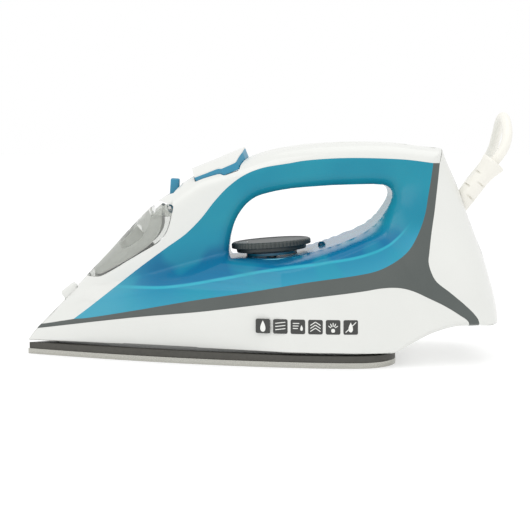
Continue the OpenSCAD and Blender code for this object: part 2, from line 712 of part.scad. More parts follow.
plug_z = plug_d / 2;
module mains_plug() {
    color([0.93, 0.92, 0.88]) translate([PLUG_X, PLUG_Y, plug_z]) rotate([0, -90, 0]) difference() {
        union() {
            cylinder(d = plug_d, h = 12);
            translate([0, 0, -14]) cylinder(r1 = 8, r2 = plug_d / 2 - 3, h = 14);
        }
        for (y = [-PIN_PITCH, 0, PIN_PITCH]) translate([y == 0 ? 3 : 0, y, 4]) cylinder(r = 2.4, h = 10);
    }
}
module plug_pins() {
    color([0.85, 0.8, 0.6]) translate([PLUG_X, PLUG_Y, plug_z]) rotate([0, -90, 0])
        for (y = [-PIN_PITCH, 0, PIN_PITCH]) translate([y == 0 ? 3 : 0, y, 4]) cylinder(r = 2.4, h = 27);
}

soleplate();
heat_skirt();
heater_casting();
heating_element();
chamber_gasket();
steam_chamber_cover();
lower_body();
trim_band();
water_tank();
handle_grip();
upper_shell();
rear_cover();
filler_well();
filler_inlet();
filler_lid();
lid_hinge_pin();
spray_nozzle();
spray_tube();
steam_tube();
steam_lever();
valve_rod();
rod_seal();
valve_seat();
spray_button();
steam_button();
spray_piston();
steam_piston();
spray_spring();
steam_spring();
spray_pump();
steam_pump();
temperature_dial();
dial_shaft();
dial_bezel();
thermostat();
thermal_fuse();
pilot_lens();
pilot_lamp();
terminal_block();
cord_clamp();
cord_socket();
cord_guard();
casting_screws();
cover_screws();
lead_wires();
mains_cord();
cord_coil();
coil_tie();
mains_plug();
plug_pins();
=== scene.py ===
import math

import bpy
import numpy as np
from mathutils import Matrix, Vector


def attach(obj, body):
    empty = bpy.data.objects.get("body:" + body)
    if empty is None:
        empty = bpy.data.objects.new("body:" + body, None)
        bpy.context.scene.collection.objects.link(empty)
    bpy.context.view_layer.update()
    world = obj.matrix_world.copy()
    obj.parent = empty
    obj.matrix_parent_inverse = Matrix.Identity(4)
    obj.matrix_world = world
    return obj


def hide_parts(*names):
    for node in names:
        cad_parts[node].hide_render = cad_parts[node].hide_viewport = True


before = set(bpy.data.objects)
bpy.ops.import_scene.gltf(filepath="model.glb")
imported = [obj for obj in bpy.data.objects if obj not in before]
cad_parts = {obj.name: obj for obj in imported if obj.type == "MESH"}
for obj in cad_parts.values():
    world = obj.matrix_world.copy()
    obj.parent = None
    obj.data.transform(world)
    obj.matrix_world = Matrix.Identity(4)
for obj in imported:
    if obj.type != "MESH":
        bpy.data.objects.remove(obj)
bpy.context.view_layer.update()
MM = 0.001

# ---------------------------------------------------------------------------------------------
# Camera. A long lens at table height, 0.8 m to the left of the iron and a hand's width above it,
# so that the ironing face is seen nearly edge-on and the handle stands clear against the backdrop.
CAMERA_AT = Vector((3.2, -800, 132)) * MM
AIM_AT = Vector((3.2, 0, 56.4)) * MM
FOCAL = 86.2
bpy.ops.object.select_all(action="DESELECT")
bpy.ops.object.camera_add(location=CAMERA_AT)
camera = bpy.context.object
camera.rotation_euler = (AIM_AT - CAMERA_AT).to_track_quat("-Z", "Y").to_euler()
camera.data.lens = FOCAL
camera.data.sensor_width = 36
camera.data.clip_start = 0.01
bpy.context.scene.camera = camera

# ---------------------------------------------------------------------------------------------
# Mains lead. 1.8 m of 6.5 mm round PVC flex, extruded over its cores, which leaves a faint orange
# peel. It comes straight out of the strain relief, arches over behind the heel and is put away
# in a neat coil on the table, held by a strap, with its plug standing beside it.
CORD_D = 6.5
HANGING = [(147, 0, 121.2), (150.8, 0.5, 126), (154.4, 3, 132), (156.6, 8, 138.5), (157.6, 16, 145),
           (158, 26, 149.3), (158.3, 37, 149.8), (158.5, 47, 146), (158.4, 56, 138.5), (157, 63, 129),
           (152.5, 68, 119), (146, 71.5, 110), (139.5, 74, 100), (133.8, 76.5, 88), (129.5, 79, 74),
           (126.5, 82, 58), (124.5, 85.5, 42), (121.5, 90, 27), (115.5, 96, 14.5), (107, 103, 7.2),
           (97.5, 111, 4.7), (87, 120, 4.5), (75, 129.6, 4.5)]
TAIL = [(25, 148.6, 17.65), (14, 148, 17.6), (3, 144.8, 17.2), (-8, 138, 16.6), (-18, 129, 16.4),
        (-27, 120, 16.8), (-36, 113.6, 17.6), (-46, 112, 18)]
COIL_MID = (36, 106)
COIL_START = math.radians(53)
COIL_OUTER, COIL_INNER = 42.75, 26.9
COIL_FLOOR = 4.45
LAYER_RISE = 6.6
COIL_TURNS = 6.1028
POINTS_PER_TURN = 20


def tone(code):
    """A colour written as sRGB hex, turned to the linear colour that shaders work in."""
    parts = [int(code[i:i + 2], 16) / 255 for i in (1, 3, 5)]
    return tuple(p / 12.92 if p <= 0.04045 else ((p + 0.055) / 1.055) ** 2.4 for p in parts) + (1,)


def add_node(tree, kind, inputs=None, **settings):
    """Adds a node with its settings; an input takes a value or another node's output."""
    made = tree.nodes.new(kind)
    for name, value in settings.items():
        setattr(made, name, value)
    for name, value in (inputs or {}).items():
        if isinstance(value, bpy.types.NodeSocket):
            tree.links.new(value, made.inputs[name])
        else:
            made.inputs[name].default_value = value
    return made


def new_material(name, **shader_inputs):
    """A material with its shader's sockets set, and Object coordinates ready."""
    made = bpy.data.materials.new(name)
    made.use_nodes = True
    tree = made.node_tree
    tree.nodes.clear()
    shader = add_node(tree, "ShaderNodeBsdfPrincipled",
                      {key.replace("_", " "): value for key, value in shader_inputs.items()})
    place = add_node(tree, "ShaderNodeTexCoord")
    add_node(tree, "ShaderNodeOutputMaterial", {"Surface": shader.outputs[0]})
    return made, tree, shader, place.outputs["Object"]


def coil_point(turns):
    """Where the lead's centre line is after so many turns of the coil, wound in and then out."""
    pitch = (COIL_OUTER - COIL_INNER) / 2.4
    if turns < 3.0:
        radius = max(COIL_INNER, COIL_OUTER - pitch * turns)
    else:
        radius = min(COIL_OUTER, COIL_INNER + pitch * (turns - 3.0))
    first = min(1, max(0, (turns - 2.4) / 0.45))
    second = min(1, max(0, (turns - 5.4) / 0.5))
    z = COIL_FLOOR + LAYER_RISE * (first * first * (3 - 2 * first) + second * second * (3 - 2 * second))
    angle = COIL_START + math.tau * turns
    return (COIL_MID[0] + radius * math.cos(angle), COIL_MID[1] + radius * math.sin(angle), z)


coiled = [coil_point(i / POINTS_PER_TURN) for i in range(int(COIL_TURNS * POINTS_PER_TURN))]
coiled.append(coil_point(COIL_TURNS))
route = HANGING + coiled + TAIL
bpy.ops.curve.primitive_bezier_curve_add()
lead = bpy.context.object
lead.name = "Mains_lead"
spline = lead.data.splines[0]
spline.bezier_points.add(len(route) - 2)
for knot, at in zip(spline.bezier_points, route):
    knot.co = Vector(at) * MM
    knot.handle_left_type = knot.handle_right_type = "AUTO"
lead.data.bevel_depth = CORD_D / 2 * MM
lead.data.bevel_resolution = 4
lead.data.resolution_u = 5
lead.data.use_fill_caps = True

# PVC flex: soft, satin, off-white; a faint orange peel from the extruder breaks the highlight.
pvc, pvc_tree, pvc_shader, at = new_material(
    "Extruded_white_PVC", Base_Color=tone("#EAE8E0"), Roughness=0.42, IOR=1.53)
peel = add_node(pvc_tree, "ShaderNodeTexNoise", {"Vector": at, "Scale": 700, "Detail": 2})
add_node(pvc_tree, "ShaderNodeBump", {"Height": peel.outputs["Fac"], "Strength": 0.12,
                                      "Distance": 0.0004})
pvc_tree.links.new(pvc_tree.nodes[-1].outputs[0], pvc_shader.inputs["Normal"])
lead.data.materials.append(pvc)
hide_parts("mains_cord", "cord_coil")
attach(lead, "root")

# ---------------------------------------------------------------------------------------------
# Body shells. One hollow ABS form, moulded in several pieces that meet on smooth side-view lines.
# Its master surface is made once, outside and inside, and each shell is cut from a copy of it.
WALL = 2.2
NOSE_X, WIDEST_X = -147.5, 52.5
OUTLINE = [  # side view: x, z, and how far in from the edge the side is rounded
    (-147.5, 8.6, 2), (-146, 11, 3), (-141, 17, 5), (-131, 27, 8), (-120, 38.8, 10),
    (-111, 48.5, 11), (-96, 64.5, 12), (-81, 80.5, 12), (-66, 95.5, 12), (-57, 102, 12),
    (-47, 109.3, 12), (-38, 114.5, 12), (-23, 119.6, 13), (-8, 124.3, 14), (5, 128.6, 14),
    (25, 132.3, 14), (50, 134, 14), (80, 133.8, 14), (100, 131.5, 14), (110, 130.4, 14),
    (113.3, 130, 13), (114.6, 127, 15), (118, 119, 20), (123, 107.2, 24), (131.5, 84.5, 26),
    (141, 58, 26), (146, 40, 24), (147.5, 31, 18), (146.8, 25, 10), (143, 22.2, 6),
    (130, 22, 5), (118, 21.6, 5), (104, 17.8, 5), (90, 11.4, 4), (82, 7.6, 3), (74, 7.2, 2.5),
    (40, 7.2, 2.5), (0, 7.2, 2.5), (-60, 7.2, 2.5), (-110, 7.2, 2.5), (-140, 7.2, 2),
    (-146.5, 7.3, 1.6)]
HOLE = [(-19, 66), (-18.6, 73), (-16.5, 82), (-13.4, 89), (-8.3, 95.8), (-2.3, 100.2), (6.3, 103),
        (19, 105.3), (36, 106.8), (54, 107.7), (72, 107.9), (77.8, 107.2), (80.8, 105), (81.8, 101.6),
        (81, 98), (78, 92.4), (72.7, 85.5), (65, 79.6), (56, 75.3), (46, 71.4), (34, 67.5),
        (18, 63.5), (-2, 61.5), (-13, 61.2), (-17.6, 62.4)]
MATCHED = [  # a place on the outline, and the place on the hole's edge that faces it
    ((-147.5, 8.6), (-17.6, 62.4)), ((-100, 60.2), (-19, 66)), ((-57, 102), (-18, 76)),
    ((-38, 114.5), (-13.4, 89)), ((-8, 124.3), (-2.3, 100.2)), ((25, 132.3), (19, 105.3)),
    ((80, 133.8), (70, 107.8)), ((113.3, 130), (80.8, 105)), ((131.5, 84.5), (80.4, 97)),
    ((147.5, 31), (77, 91)), ((143, 22.2), (75, 88.4)), ((118, 21.6), (68, 81.7)),
    ((82, 7.6), (50, 73)), ((0, 7.2), (0, 61.6)), ((-110, 7.2), (-13, 61.2))]
ROWS, RIM, SIDE, LIP, ACROSS = 330, 11, 24, 9, 8
HOLE_ROUND = 7
ROUNDING = 2.5


def smooth_line(points, closed=False, spacing=1.2):
    """A centripetal curve through the points, as an array of points about spacing apart."""
    p = np.array(points, float)
    p = np.vstack([p[-1:], p, p[:2]] if closed else [2 * p[:1] - p[1:2], p, 2 * p[-1:] - p[-2:-1]])
    parts = []
    for i in range(1, len(p) - 2):
        a, b, c, d = p[i - 1:i + 3]
        gaps = [max(1e-6, np.linalg.norm((e - s)[:2])) ** 0.5 for s, e in ((a, b), (b, c), (c, d))]
        t0, t1, t2, t3 = np.cumsum([0] + gaps)
        u = np.linspace(t1, t2, int(gaps[1] ** 2 / spacing) + 2, endpoint=False)[:, None]
        ab = ((t1 - u) * a + (u - t0) * b) / (t1 - t0)
        bc = ((t2 - u) * b + (u - t1) * c) / (t2 - t1)
        cd = ((t3 - u) * c + (u - t2) * d) / (t3 - t2)
        abc = ((t2 - u) * ab + (u - t0) * bc) / (t2 - t0)
        bcd = ((t3 - u) * bc + (u - t1) * cd) / (t3 - t1)
        parts.append(((t2 - u) * abc + (u - t1) * bcd) / (t2 - t1))
    return np.vstack(parts if closed else parts + [p[-2:-1]])


def shifted(line, by):
    """A closed line of x, z points moved sideways: inwards where it runs clockwise."""
    step = np.roll(line, -1, 0)[:, :2] - np.roll(line, 1, 0)[:, :2]
    step /= np.linalg.norm(step, axis=1)[:, None] + 1e-9
    moved = line.copy()
    moved[:, :2] += by * np.stack([step[:, 1], -step[:, 0]], 1)
    return moved


def plan_half(x):
    """Half the body's width at its widest level, at x."""
    u = np.clip((x - NOSE_X) / (WIDEST_X - NOSE_X), 0, 1)
    front = 57 * (1 - (1 - u) ** 1.6)
    return np.where(x < WIDEST_X, front, 57 - 9 * (np.clip(x - WIDEST_X, 0, 91) / 91) ** 1.5)


def eased(x, knots):
    """A value read off a line through the knots, pairs of x and value."""
    return np.interp(x, [k[0] for k in knots], [k[1] for k in knots])


def half_width(x, z, edge, hole_edge, inset):
    """Half the body's width at a point of its side view."""
    s = plan_half(x)
    crest = np.minimum(20, 0.62 * s) - inset
    side = s * (1 - 0.0015 * (z - 15)) - inset
    shoulder = eased(x, [(-100, 40), (-60, 50), (-18, 60), (-8, 72), (4, 86), (75, 87), (100, 80)])
    spread = eased(x, [(-100, 5), (-18, 8), (0, 12), (75, 13), (86, 26), (100, 45)])
    u = np.clip((z - shoulder + spread) / (2 * spread), 0, 1)
    width = np.maximum(0.3, crest + (side - crest) * (1 - u * u * (3 - 2 * u)))
    point = np.stack([x, z], -1)[..., None, :]
    q = np.min(np.linalg.norm(point - edge[:, :2], axis=-1) / edge[:, 2], axis=-1)
    width = width * (1 - (1 - np.clip(q, 0, 1)) ** ROUNDING) ** (1 / ROUNDING)
    d = np.clip(np.min(np.linalg.norm(point - hole_edge[:, :2], axis=-1), axis=-1) / HOLE_ROUND, 0, 1)
    crown = np.interp(width, [10, 20, 26, 46], [3, 6, 8, 27])
    return np.maximum(0.02, width - crown * (1 - np.sqrt(1 - (1 - d) ** 2)))


def along(line, start, stop, count):
    """Points evenly spaced on a closed line, from the place nearest start to that nearest stop."""
    near = [int(np.argmin(np.linalg.norm(line[:, :2] - np.array(p), axis=1))) for p in (start, stop)]
    if near[1] <= near[0]:
        near[1] += len(line)
    at = np.linspace(near[0], near[1], count, endpoint=False)
    low = np.floor(at).astype(int)
    part = (at - low)[:, None]
    return line[low % len(line)] * (1 - part) + line[(low + 1) % len(line)] * part


def body_surface(inset, solid=False):
    """The body's whole surface, as a torus primitive shaped round the hand hole."""
    edge = shifted(smooth_line([p for p in OUTLINE if inset == 0 or p[0] > -142], closed=True), inset)
    edge[:, 2] = np.maximum(1, edge[:, 2] - inset * 0.5)
    hole_edge = shifted(smooth_line(HOLE, closed=True), -inset)
    spans = [np.hypot(*(np.array(MATCHED[(i + 1) % len(MATCHED)][0]) - np.array(MATCHED[i][0])))
             for i in range(len(MATCHED))]
    counts = [max(4, round(ROWS * s / sum(spans))) for s in spans]
    outer, inner = [], []
    for i, count in enumerate(counts):
        here, there = MATCHED[i], MATCHED[(i + 1) % len(MATCHED)]
        outer.append(along(edge, here[0], there[0], count))
        inner.append(along(hole_edge, here[1], there[1], count))
    outer, inner = np.vstack(outer), np.vstack(inner)
    rows = len(outer)
    length = np.linalg.norm(outer[:, :2] - inner[:, :2], axis=1)
    rim = np.minimum(outer[:, 2] * 1.15, 0.45 * length) / length
    lip = np.minimum(HOLE_ROUND * 1.1, 0.35 * length) / length
    angle = np.linspace(0, math.pi / 2, RIM, endpoint=False)
    ridge_part = rim[:, None] * (1 - np.cos(angle)[None, :] ** (2 / ROUNDING))
    side_part = rim[:, None] + (1 - lip - rim)[:, None] * np.linspace(0, 1, SIDE, endpoint=False)
    lip_angle = np.linspace(0, math.pi / 2, LIP + 1)
    lip_part = 1 - lip[:, None] * (1 - np.sin(lip_angle))[None, :]
    share = np.hstack([ridge_part, side_part, lip_part])
    x = outer[:, None, 0] * (1 - share) + inner[:, None, 0] * share
    z = outer[:, None, 1] * (1 - share) + inner[:, None, 1] * share
    y = half_width(x, z, edge, hole_edge, inset)
    y[:, 0] = 0
    ends = np.linspace(-1, 1, ACROSS + 1)[1:-1]
    cross = y[:, -1:] * ends
    grid = np.concatenate([
        np.stack([x, -y, z], -1),
        np.stack([np.repeat(x[:, -1:], len(ends), 1), cross, np.repeat(z[:, -1:], len(ends), 1)], -1),
        np.stack([x, y, z], -1)[:, :0:-1]], axis=1)
    bpy.ops.object.select_all(action="DESELECT")
    bpy.ops.mesh.primitive_torus_add(major_segments=rows, minor_segments=grid.shape[1])
    made = bpy.context.object
    made.data.vertices.foreach_set("co", (grid * MM).reshape(-1))
    bpy.ops.object.mode_set(mode="EDIT")
    bpy.ops.mesh.select_all(action="SELECT")
    bpy.ops.mesh.normals_make_consistent(inside=inset > 0 and not solid)
    bpy.ops.object.mode_set(mode="OBJECT")
    return made


outside = body_surface(0)
inside = body_surface(WALL)
outside.select_set(True)
bpy.context.view_layer.objects.active = outside
bpy.ops.object.join()
master = bpy.context.object
master.name = "Body_master"


def slab(outline, depth=200.0):
    """A solid as wide as the body, whose side view is the outline in x and z."""
    bpy.ops.object.select_all(action="DESELECT")
    bpy.ops.mesh.primitive_circle_add(vertices=len(outline), fill_type="NGON")
    made = bpy.context.object
    for vertex, (x, z) in zip(made.data.vertices, np.asarray(outline)[:, :2]):
        vertex.co = Vector((x, -depth / 2, z)) * MM
    bpy.ops.object.mode_set(mode="EDIT")
    bpy.ops.mesh.select_all(action="SELECT")
    bpy.ops.mesh.extrude_region_move(TRANSFORM_OT_translate={"value": (0, depth * MM, 0)})
    bpy.ops.mesh.select_all(action="SELECT")
    bpy.ops.mesh.normals_make_consistent(inside=False)
    bpy.ops.object.mode_set(mode="OBJECT")
    return made


def cut(piece, cutter, how):
    """Cuts a piece with another solid: DIFFERENCE, INTERSECT or UNION."""
    bpy.context.view_layer.objects.active = piece
    tool = piece.modifiers.new("Cut", "BOOLEAN")
    tool.operation = how
    tool.object = cutter
    tool.solver = "EXACT"
    bpy.ops.object.modifier_apply(modifier=tool.name)
    bpy.data.objects.remove(cutter)


def body_piece(name, outline):
    """A shell of the body: what of its hollow form lies inside the side-view outline."""
    bpy.ops.object.select_all(action="DESELECT")
    piece = master.copy()
    piece.data = master.data.copy()
    piece.name = name
    bpy.context.collection.objects.link(piece)
    cut(piece, slab(outline), "INTERSECT")
    return piece


def finish_piece(piece, stuff, body, slot, *nodes, angle=50):
    """Smooths a finished piece, gives it its material, hides the model's parts it stands for and hangs it
    on its body.
    """
    bpy.ops.object.select_all(action="DESELECT")
    piece.select_set(True)
    bpy.context.view_layer.objects.active = piece
    bpy.ops.object.transform_apply(location=True, rotation=True, scale=True)
    bpy.ops.object.shade_smooth_by_angle(angle=math.radians(angle))
    piece.data.materials.clear()
    for one in stuff if isinstance(stuff, (list, tuple)) else [stuff]:
        piece.data.materials.append(one)
    if nodes:
        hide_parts(*nodes)
    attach(piece, body)


def sole_line(inset=0.0, count=72):
    """The soleplate's plan, closed, as x and y."""
    end = SOLE_END
    u = (1 - np.cos(np.linspace(0, math.pi, count))) / 2
    x = NOSE_X + inset * 1.6 + (end - inset - NOSE_X - inset * 1.6) * u
    back = np.clip(x - end + SOLE_ROUND, 0, SOLE_ROUND - 1e-3)
    half = np.maximum(0.35, plan_half(x) - SOLE_ROUND + np.sqrt(SOLE_ROUND ** 2 - back ** 2) - inset)
    half[-1] = 0.35 if half[-1] < 1 else half[-1]
    return np.vstack([np.stack([x, half], 1), np.stack([x, -half], 1)[::-1]])


def plate(name, line, low, high):
    """A flat solid between two heights, with the plan outline given in x and y."""
    bpy.ops.object.select_all(action="DESELECT")
    bpy.ops.mesh.primitive_circle_add(vertices=len(line), fill_type="NGON")
    made = bpy.context.object
    made.name = name
    for vertex, (x, y) in zip(made.data.vertices, line):
        vertex.co = Vector((x, y, low)) * MM
    bpy.ops.object.mode_set(mode="EDIT")
    bpy.ops.mesh.select_all(action="SELECT")
    bpy.ops.mesh.extrude_region_move(TRANSFORM_OT_translate={"value": (0, 0, (high - low) * MM)})
    bpy.ops.mesh.select_all(action="SELECT")
    bpy.ops.mesh.normals_make_consistent(inside=False)
    bpy.ops.object.mode_set(mode="OBJECT")
    return made


def rounded(piece, width, segments=3, angle=35):
    """Breaks a piece's sharp edges."""
    bpy.context.view_layer.objects.active = piece
    tool = piece.modifiers.new("Edges", "BEVEL")
    tool.width = width * MM
    tool.segments = segments
    tool.limit_method = "ANGLE"
    tool.angle_limit = math.radians(angle)
    bpy.ops.object.modifier_apply(modifier=tool.name)


def placed(piece, at, tilt=0.0, turn=0.0):
    """Moves a piece made round the origin to its place: turned about Z, then tilted about Y."""
    piece.data.transform(Matrix.Translation(Vector(at) * MM) @ Matrix.Rotation(math.radians(tilt), 4, "Y")
                         @ Matrix.Rotation(math.radians(turn), 4, "Z"))
    return piece


# ---------------------------------------------------------------------------------------------
# Lower body. A white glossy ABS shell round the heater, open underneath and closed under the
# heel. It is screwed down on the heater casting and carries the other shells.
TRIM_LOW = [(-160, 12.5), (-138.4, 17), (-77, 26.6), (-36, 31.6), (-5, 36.3), (25, 41), (62.5, 46),
            (71, 47.4), (79, 47.9), (85, 47.4), (92, 45.4), (101, 41.2), (110.4, 36.6), (119.5, 31),
            (124.4, 27.4), (125.6, 23.5), (125.8, 10)]
SEAM = 0.12
SOLE_END = 83
SOLE_ROUND = 24
SOLE_T = 3.3
SKIRT_TOP = 7.2
# Moulded ABS from a polished tool: an even gloss, a shade warmer and cooler in wide clouds.
white_abs, abs_tree, abs_shader, at = new_material(
    "Moulded_white_ABS", Roughness=0.3, IOR=1.54, Coat_Weight=0.35, Coat_Roughness=0.12)
cloudy = add_node(abs_tree, "ShaderNodeTexNoise", {"Vector": at, "Scale": 30, "Detail": 2})
shade = add_node(abs_tree, "ShaderNodeMix", {0: cloudy.outputs["Fac"], 6: tone("#D8D9D5"),
                                             7: tone("#DEDFDB")}, data_type="RGBA")
flow = add_node(abs_tree, "ShaderNodeTexNoise", {"Vector": at, "Scale": 900, "Detail": 3})
bump = add_node(abs_tree, "ShaderNodeBump", {"Height": flow.outputs["Fac"], "Strength": 0.05,
                                             "Distance": 0.0003})
abs_tree.links.new(shade.outputs[2], abs_shader.inputs["Base Color"])
abs_tree.links.new(bump.outputs[0], abs_shader.inputs["Normal"])
lower_body = body_piece("Lower_body", np.vstack([shifted(smooth_line(TRIM_LOW), SEAM),
                                                 [(125.8, -20), (-160, -20)]]))
cut(lower_body, plate("Floor_opening", sole_line(5.2), 2, 7.2 + WALL + 0.3), "DIFFERENCE")
finish_piece(lower_body, white_abs, "root", "white_shell", "lower_body")

# ---------------------------------------------------------------------------------------------
# Trim band. A dark grey satin ABS strip from the nose, swelling at the back and running up to
# the handle. It snaps in between the lower body and the blue tank, flush with both.
TRIM_UP = [(-160, 15.2), (-135.7, 19.8), (-116.5, 23.8), (-108.8, 24.7), (-77, 30.8), (-40, 38.3),
           (-6, 44.3), (26, 50.4), (67, 57), (75, 60), (82.2, 64.2), (90, 70.2), (96.3, 79.7),
           (100.5, 90), (103, 101.6), (105, 111.6), (106.5, 121)]
REAR_FRONT = [(110.8, 121), (109.2, 109.3), (106.4, 91.7), (104, 79.7), (102, 68),
              (101.2, 62), (102.6, 56.2), (105.3, 51.1), (113.5, 44.5), (122.5, 37), (128.6, 31),
              (131, 27), (131, 10)]
# ABS from a spark-eroded tool: a fine grain dulls the gloss, and the grey drifts a little.
grey_abs, grey_tree, grey_shader, at = new_material(
    "Satin_grey_ABS", Roughness=0.36, IOR=1.54)
patchy = add_node(grey_tree, "ShaderNodeTexNoise", {"Vector": at, "Scale": 24, "Detail": 2})
grey_shade = add_node(grey_tree, "ShaderNodeMix", {0: patchy.outputs["Fac"], 6: tone("#464C4A"),
                                                   7: tone("#555B58")}, data_type="RGBA")
spark = add_node(grey_tree, "ShaderNodeTexNoise", {"Vector": at, "Scale": 1200, "Detail": 2})
grain = add_node(grey_tree, "ShaderNodeBump", {"Height": spark.outputs["Fac"], "Strength": 0.12,
                                               "Distance": 0.0003})
grey_tree.links.new(grey_shade.outputs[2], grey_shader.inputs["Base Color"])
grey_tree.links.new(grain.outputs[0], grey_shader.inputs["Normal"])
trim_line = np.vstack([smooth_line(TRIM_UP), smooth_line(REAR_FRONT), smooth_line(TRIM_LOW)[::-1]])
trim_band = body_piece("Trim_band", trim_line)
finish_piece(trim_band, grey_abs, "root", "grey_trim", "trim_band")

# ---------------------------------------------------------------------------------------------
# Upper shell. White ABS from the nose up and over the handle, clipped on the tank. It is cut
# away for the filler's lid, the pump buttons, the steam lever's curved slot and the nozzle.
TANK_TOP = [(-116.5, 23.8), (-107.5, 30.6), (-88.6, 45.4), (-73.4, 57.3), (-57.4, 69.1),
            (-45.7, 77.5), (-36.2, 87), (-27.8, 97.7), (-19.3, 106.6), (-9.8, 113.5), (0.7, 117.8),
            (18.6, 121), (27.4, 122.5), (48.6, 124), (69.7, 124), (90.8, 123), (106.5, 121)]
LID_EDGE = [(-108, 50.2), (-104, 50.1), (-99.7, 50.5), (-91.4, 54.7), (-82, 60.5), (-72.5, 66.2),
            (-66, 70), (-62.5, 72.4), (-58.6, 76.6), (-56.4, 81), (-54.9, 86), (-54.2, 89),
            (-53.4, 92.4)]
LID_REAR = [(-53.2, 94.4), (-54.4, 95.3), (-60.7, 97.2), (-66, 97.2), (-66, 150)]
HINGE = (-55.5, 0, 93.6)
LID_NOTCH_R = 7.6
CHEEK_Y = 17.25
LEVER_X, LEVER_ARM = -42, 12.4
BUTTONS_AT, BUTTONS_TILT = (-24, 0, 119.5), -22
BUTTON_HALF = [(-18, 0.35), (-18, 15.2), (-17.4, 15.7), (-10, 16), (-3.6, 16), (-2.4, 16.3),
               (-0.6, 17.4), (0.6, 17.6), (8.4, 17.2), (9.6, 16.6), (15.4, 8), (17.6, 1.4), (17.7, 0.35)]
SLOT_OUTER, SLOT_INNER = 17.2, 7.2
NOZZLE_AT, NOZZLE_TILT = (-120, 0, 41), -38
upper_line = np.vstack([smooth_line(TANK_TOP), [(110.6, 121), (113.4, 131), (113.4, 200),
                                                (-200, 200), (-200, 8), (-160, 15.2)],
                        [(-135.7, 19.8)]])
upper_shell = body_piece("Upper_shell", upper_line)
lid_opening = np.vstack([[(-150, 150), (-150, 50.2)], smooth_line(LID_EDGE), LID_REAR])
cut(upper_shell, slab(lid_opening), "DIFFERENCE")
around = [(x * 1.03, y * 1.03 + 0.3) for x, y in BUTTON_HALF]
hole = plate("Button_opening", around + [(x, -y) for x, y in around[::-1]], -12, 30)
cut(upper_shell, placed(hole, BUTTONS_AT, BUTTONS_TILT), "DIFFERENCE")
swing = [math.radians(180 + 4 * i) for i in range(-12, 13)]
slot = ([(SLOT_OUTER * math.cos(a), SLOT_OUTER * math.sin(a)) for a in swing]
        + [(SLOT_INNER * math.cos(a), SLOT_INNER * math.sin(a)) for a in swing[::-1]])
cut(upper_shell, placed(plate("Lever_slot", slot, 0, 50), (LEVER_X, 0, 91.5)), "DIFFERENCE")
bpy.ops.mesh.primitive_cube_add(size=1)
notch = bpy.context.object
notch.data.transform(Matrix.Diagonal((11.4 * MM, 10.4 * MM, 12 * MM, 1)))
cut(upper_shell, placed(notch, (NOZZLE_AT[0] - 0.4, 0, NOZZLE_AT[2]), NOZZLE_TILT), "DIFFERENCE")
for side in (-1, 1):
    bpy.ops.mesh.primitive_cylinder_add(
        vertices=48, radius=LID_NOTCH_R * MM, depth=20 * MM, rotation=(math.pi / 2, 0, 0),
        location=Vector((HINGE[0], side * (CHEEK_Y + 10), HINGE[2])) * MM)
    notch = bpy.context.object
    bpy.ops.object.transform_apply(location=True, rotation=True)
    cut(notch, slab(np.array([(-74, 91.6), (-53.7, 91.6), (-53.7, 112), (-74, 112)])), "INTERSECT")
    cut(upper_shell, notch, "DIFFERENCE")
finish_piece(upper_shell, white_abs, "root", "white_shell", "upper_shell")

# ---------------------------------------------------------------------------------------------
# Filler lid. Smoke-tinted clear polycarbonate, moulded flush with the shell round it, and hinged
# on two steel stub pins at its rear corners.
GAP = 0.35
# Clear polycarbonate: it is seen through, with a sharp highlight and hardly any haze.
smoke, smoke_tree, smoke_shader, at = new_material(
    "Clear_polycarbonate", Base_Color=tone("#DCDEDA"), Roughness=0.06, IOR=1.2,
    Transmission_Weight=0.86, Coat_Weight=0.3, Coat_Roughness=0.05)
haze = add_node(smoke_tree, "ShaderNodeTexNoise", {"Vector": at, "Scale": 400, "Detail": 2})
haze_bump = add_node(smoke_tree, "ShaderNodeBump", {"Height": haze.outputs["Fac"], "Strength": 0.03,
                                                    "Distance": 0.0002})
smoke_tree.links.new(haze_bump.outputs[0], smoke_shader.inputs["Normal"])
lid_edge = shifted(smooth_line(LID_EDGE), -GAP)[1:]
filler_lid = body_piece("Filler_lid", np.vstack([
    [(-150, 150), (-150, lid_edge[0][1])], lid_edge,
    [(-54.2, 94), (-60.8, 96.6), (-66.4, 96.8), (-66.4, 150)]]))
bpy.ops.mesh.primitive_cube_add(size=1)
relief = bpy.context.object
relief.data.transform(Matrix.Translation(Vector((-52, 0, 103)) * MM)
                      @ Matrix.Diagonal((30.2 * MM, 34.9 * MM, 30 * MM, 1)))
cut(filler_lid, relief, "DIFFERENCE")
bpy.ops.mesh.primitive_cylinder_add(vertices=32, radius=1.08 * MM, depth=60 * MM,
                                    location=Vector(HINGE) * MM, rotation=(math.pi / 2, 0, 0))
cut(filler_lid, bpy.context.object, "DIFFERENCE")
finish_piece(filler_lid, smoke, "lid", "smoke_clear", "filler_lid")

# ---------------------------------------------------------------------------------------------
# Filler well. A grey polypropylene cup under the lid, with the inlet's mouth in its sloping
# floor. Its rim is welded to the upper shell from inside.
WELL = [(-103, 51.4), (-99.7, 51.6), (-91.6, 55.6), (-72.8, 67), (-65, 74), (-61.5, 80), (-60.3, 88),
        (-60.5, 94.6), (-64.4, 96.4)]
WELL_FLOOR = [(-65.6, 88.4), (-69.9, 79.8), (-74.3, 73.5), (-85.1, 66.6), (-93, 61), (-102, 53.6)]
FLOOR_T = 1.3
INLET_AT, INLET_TILT, INLET_R = (-81.4, 0, 74.8), -43.2, 8.1
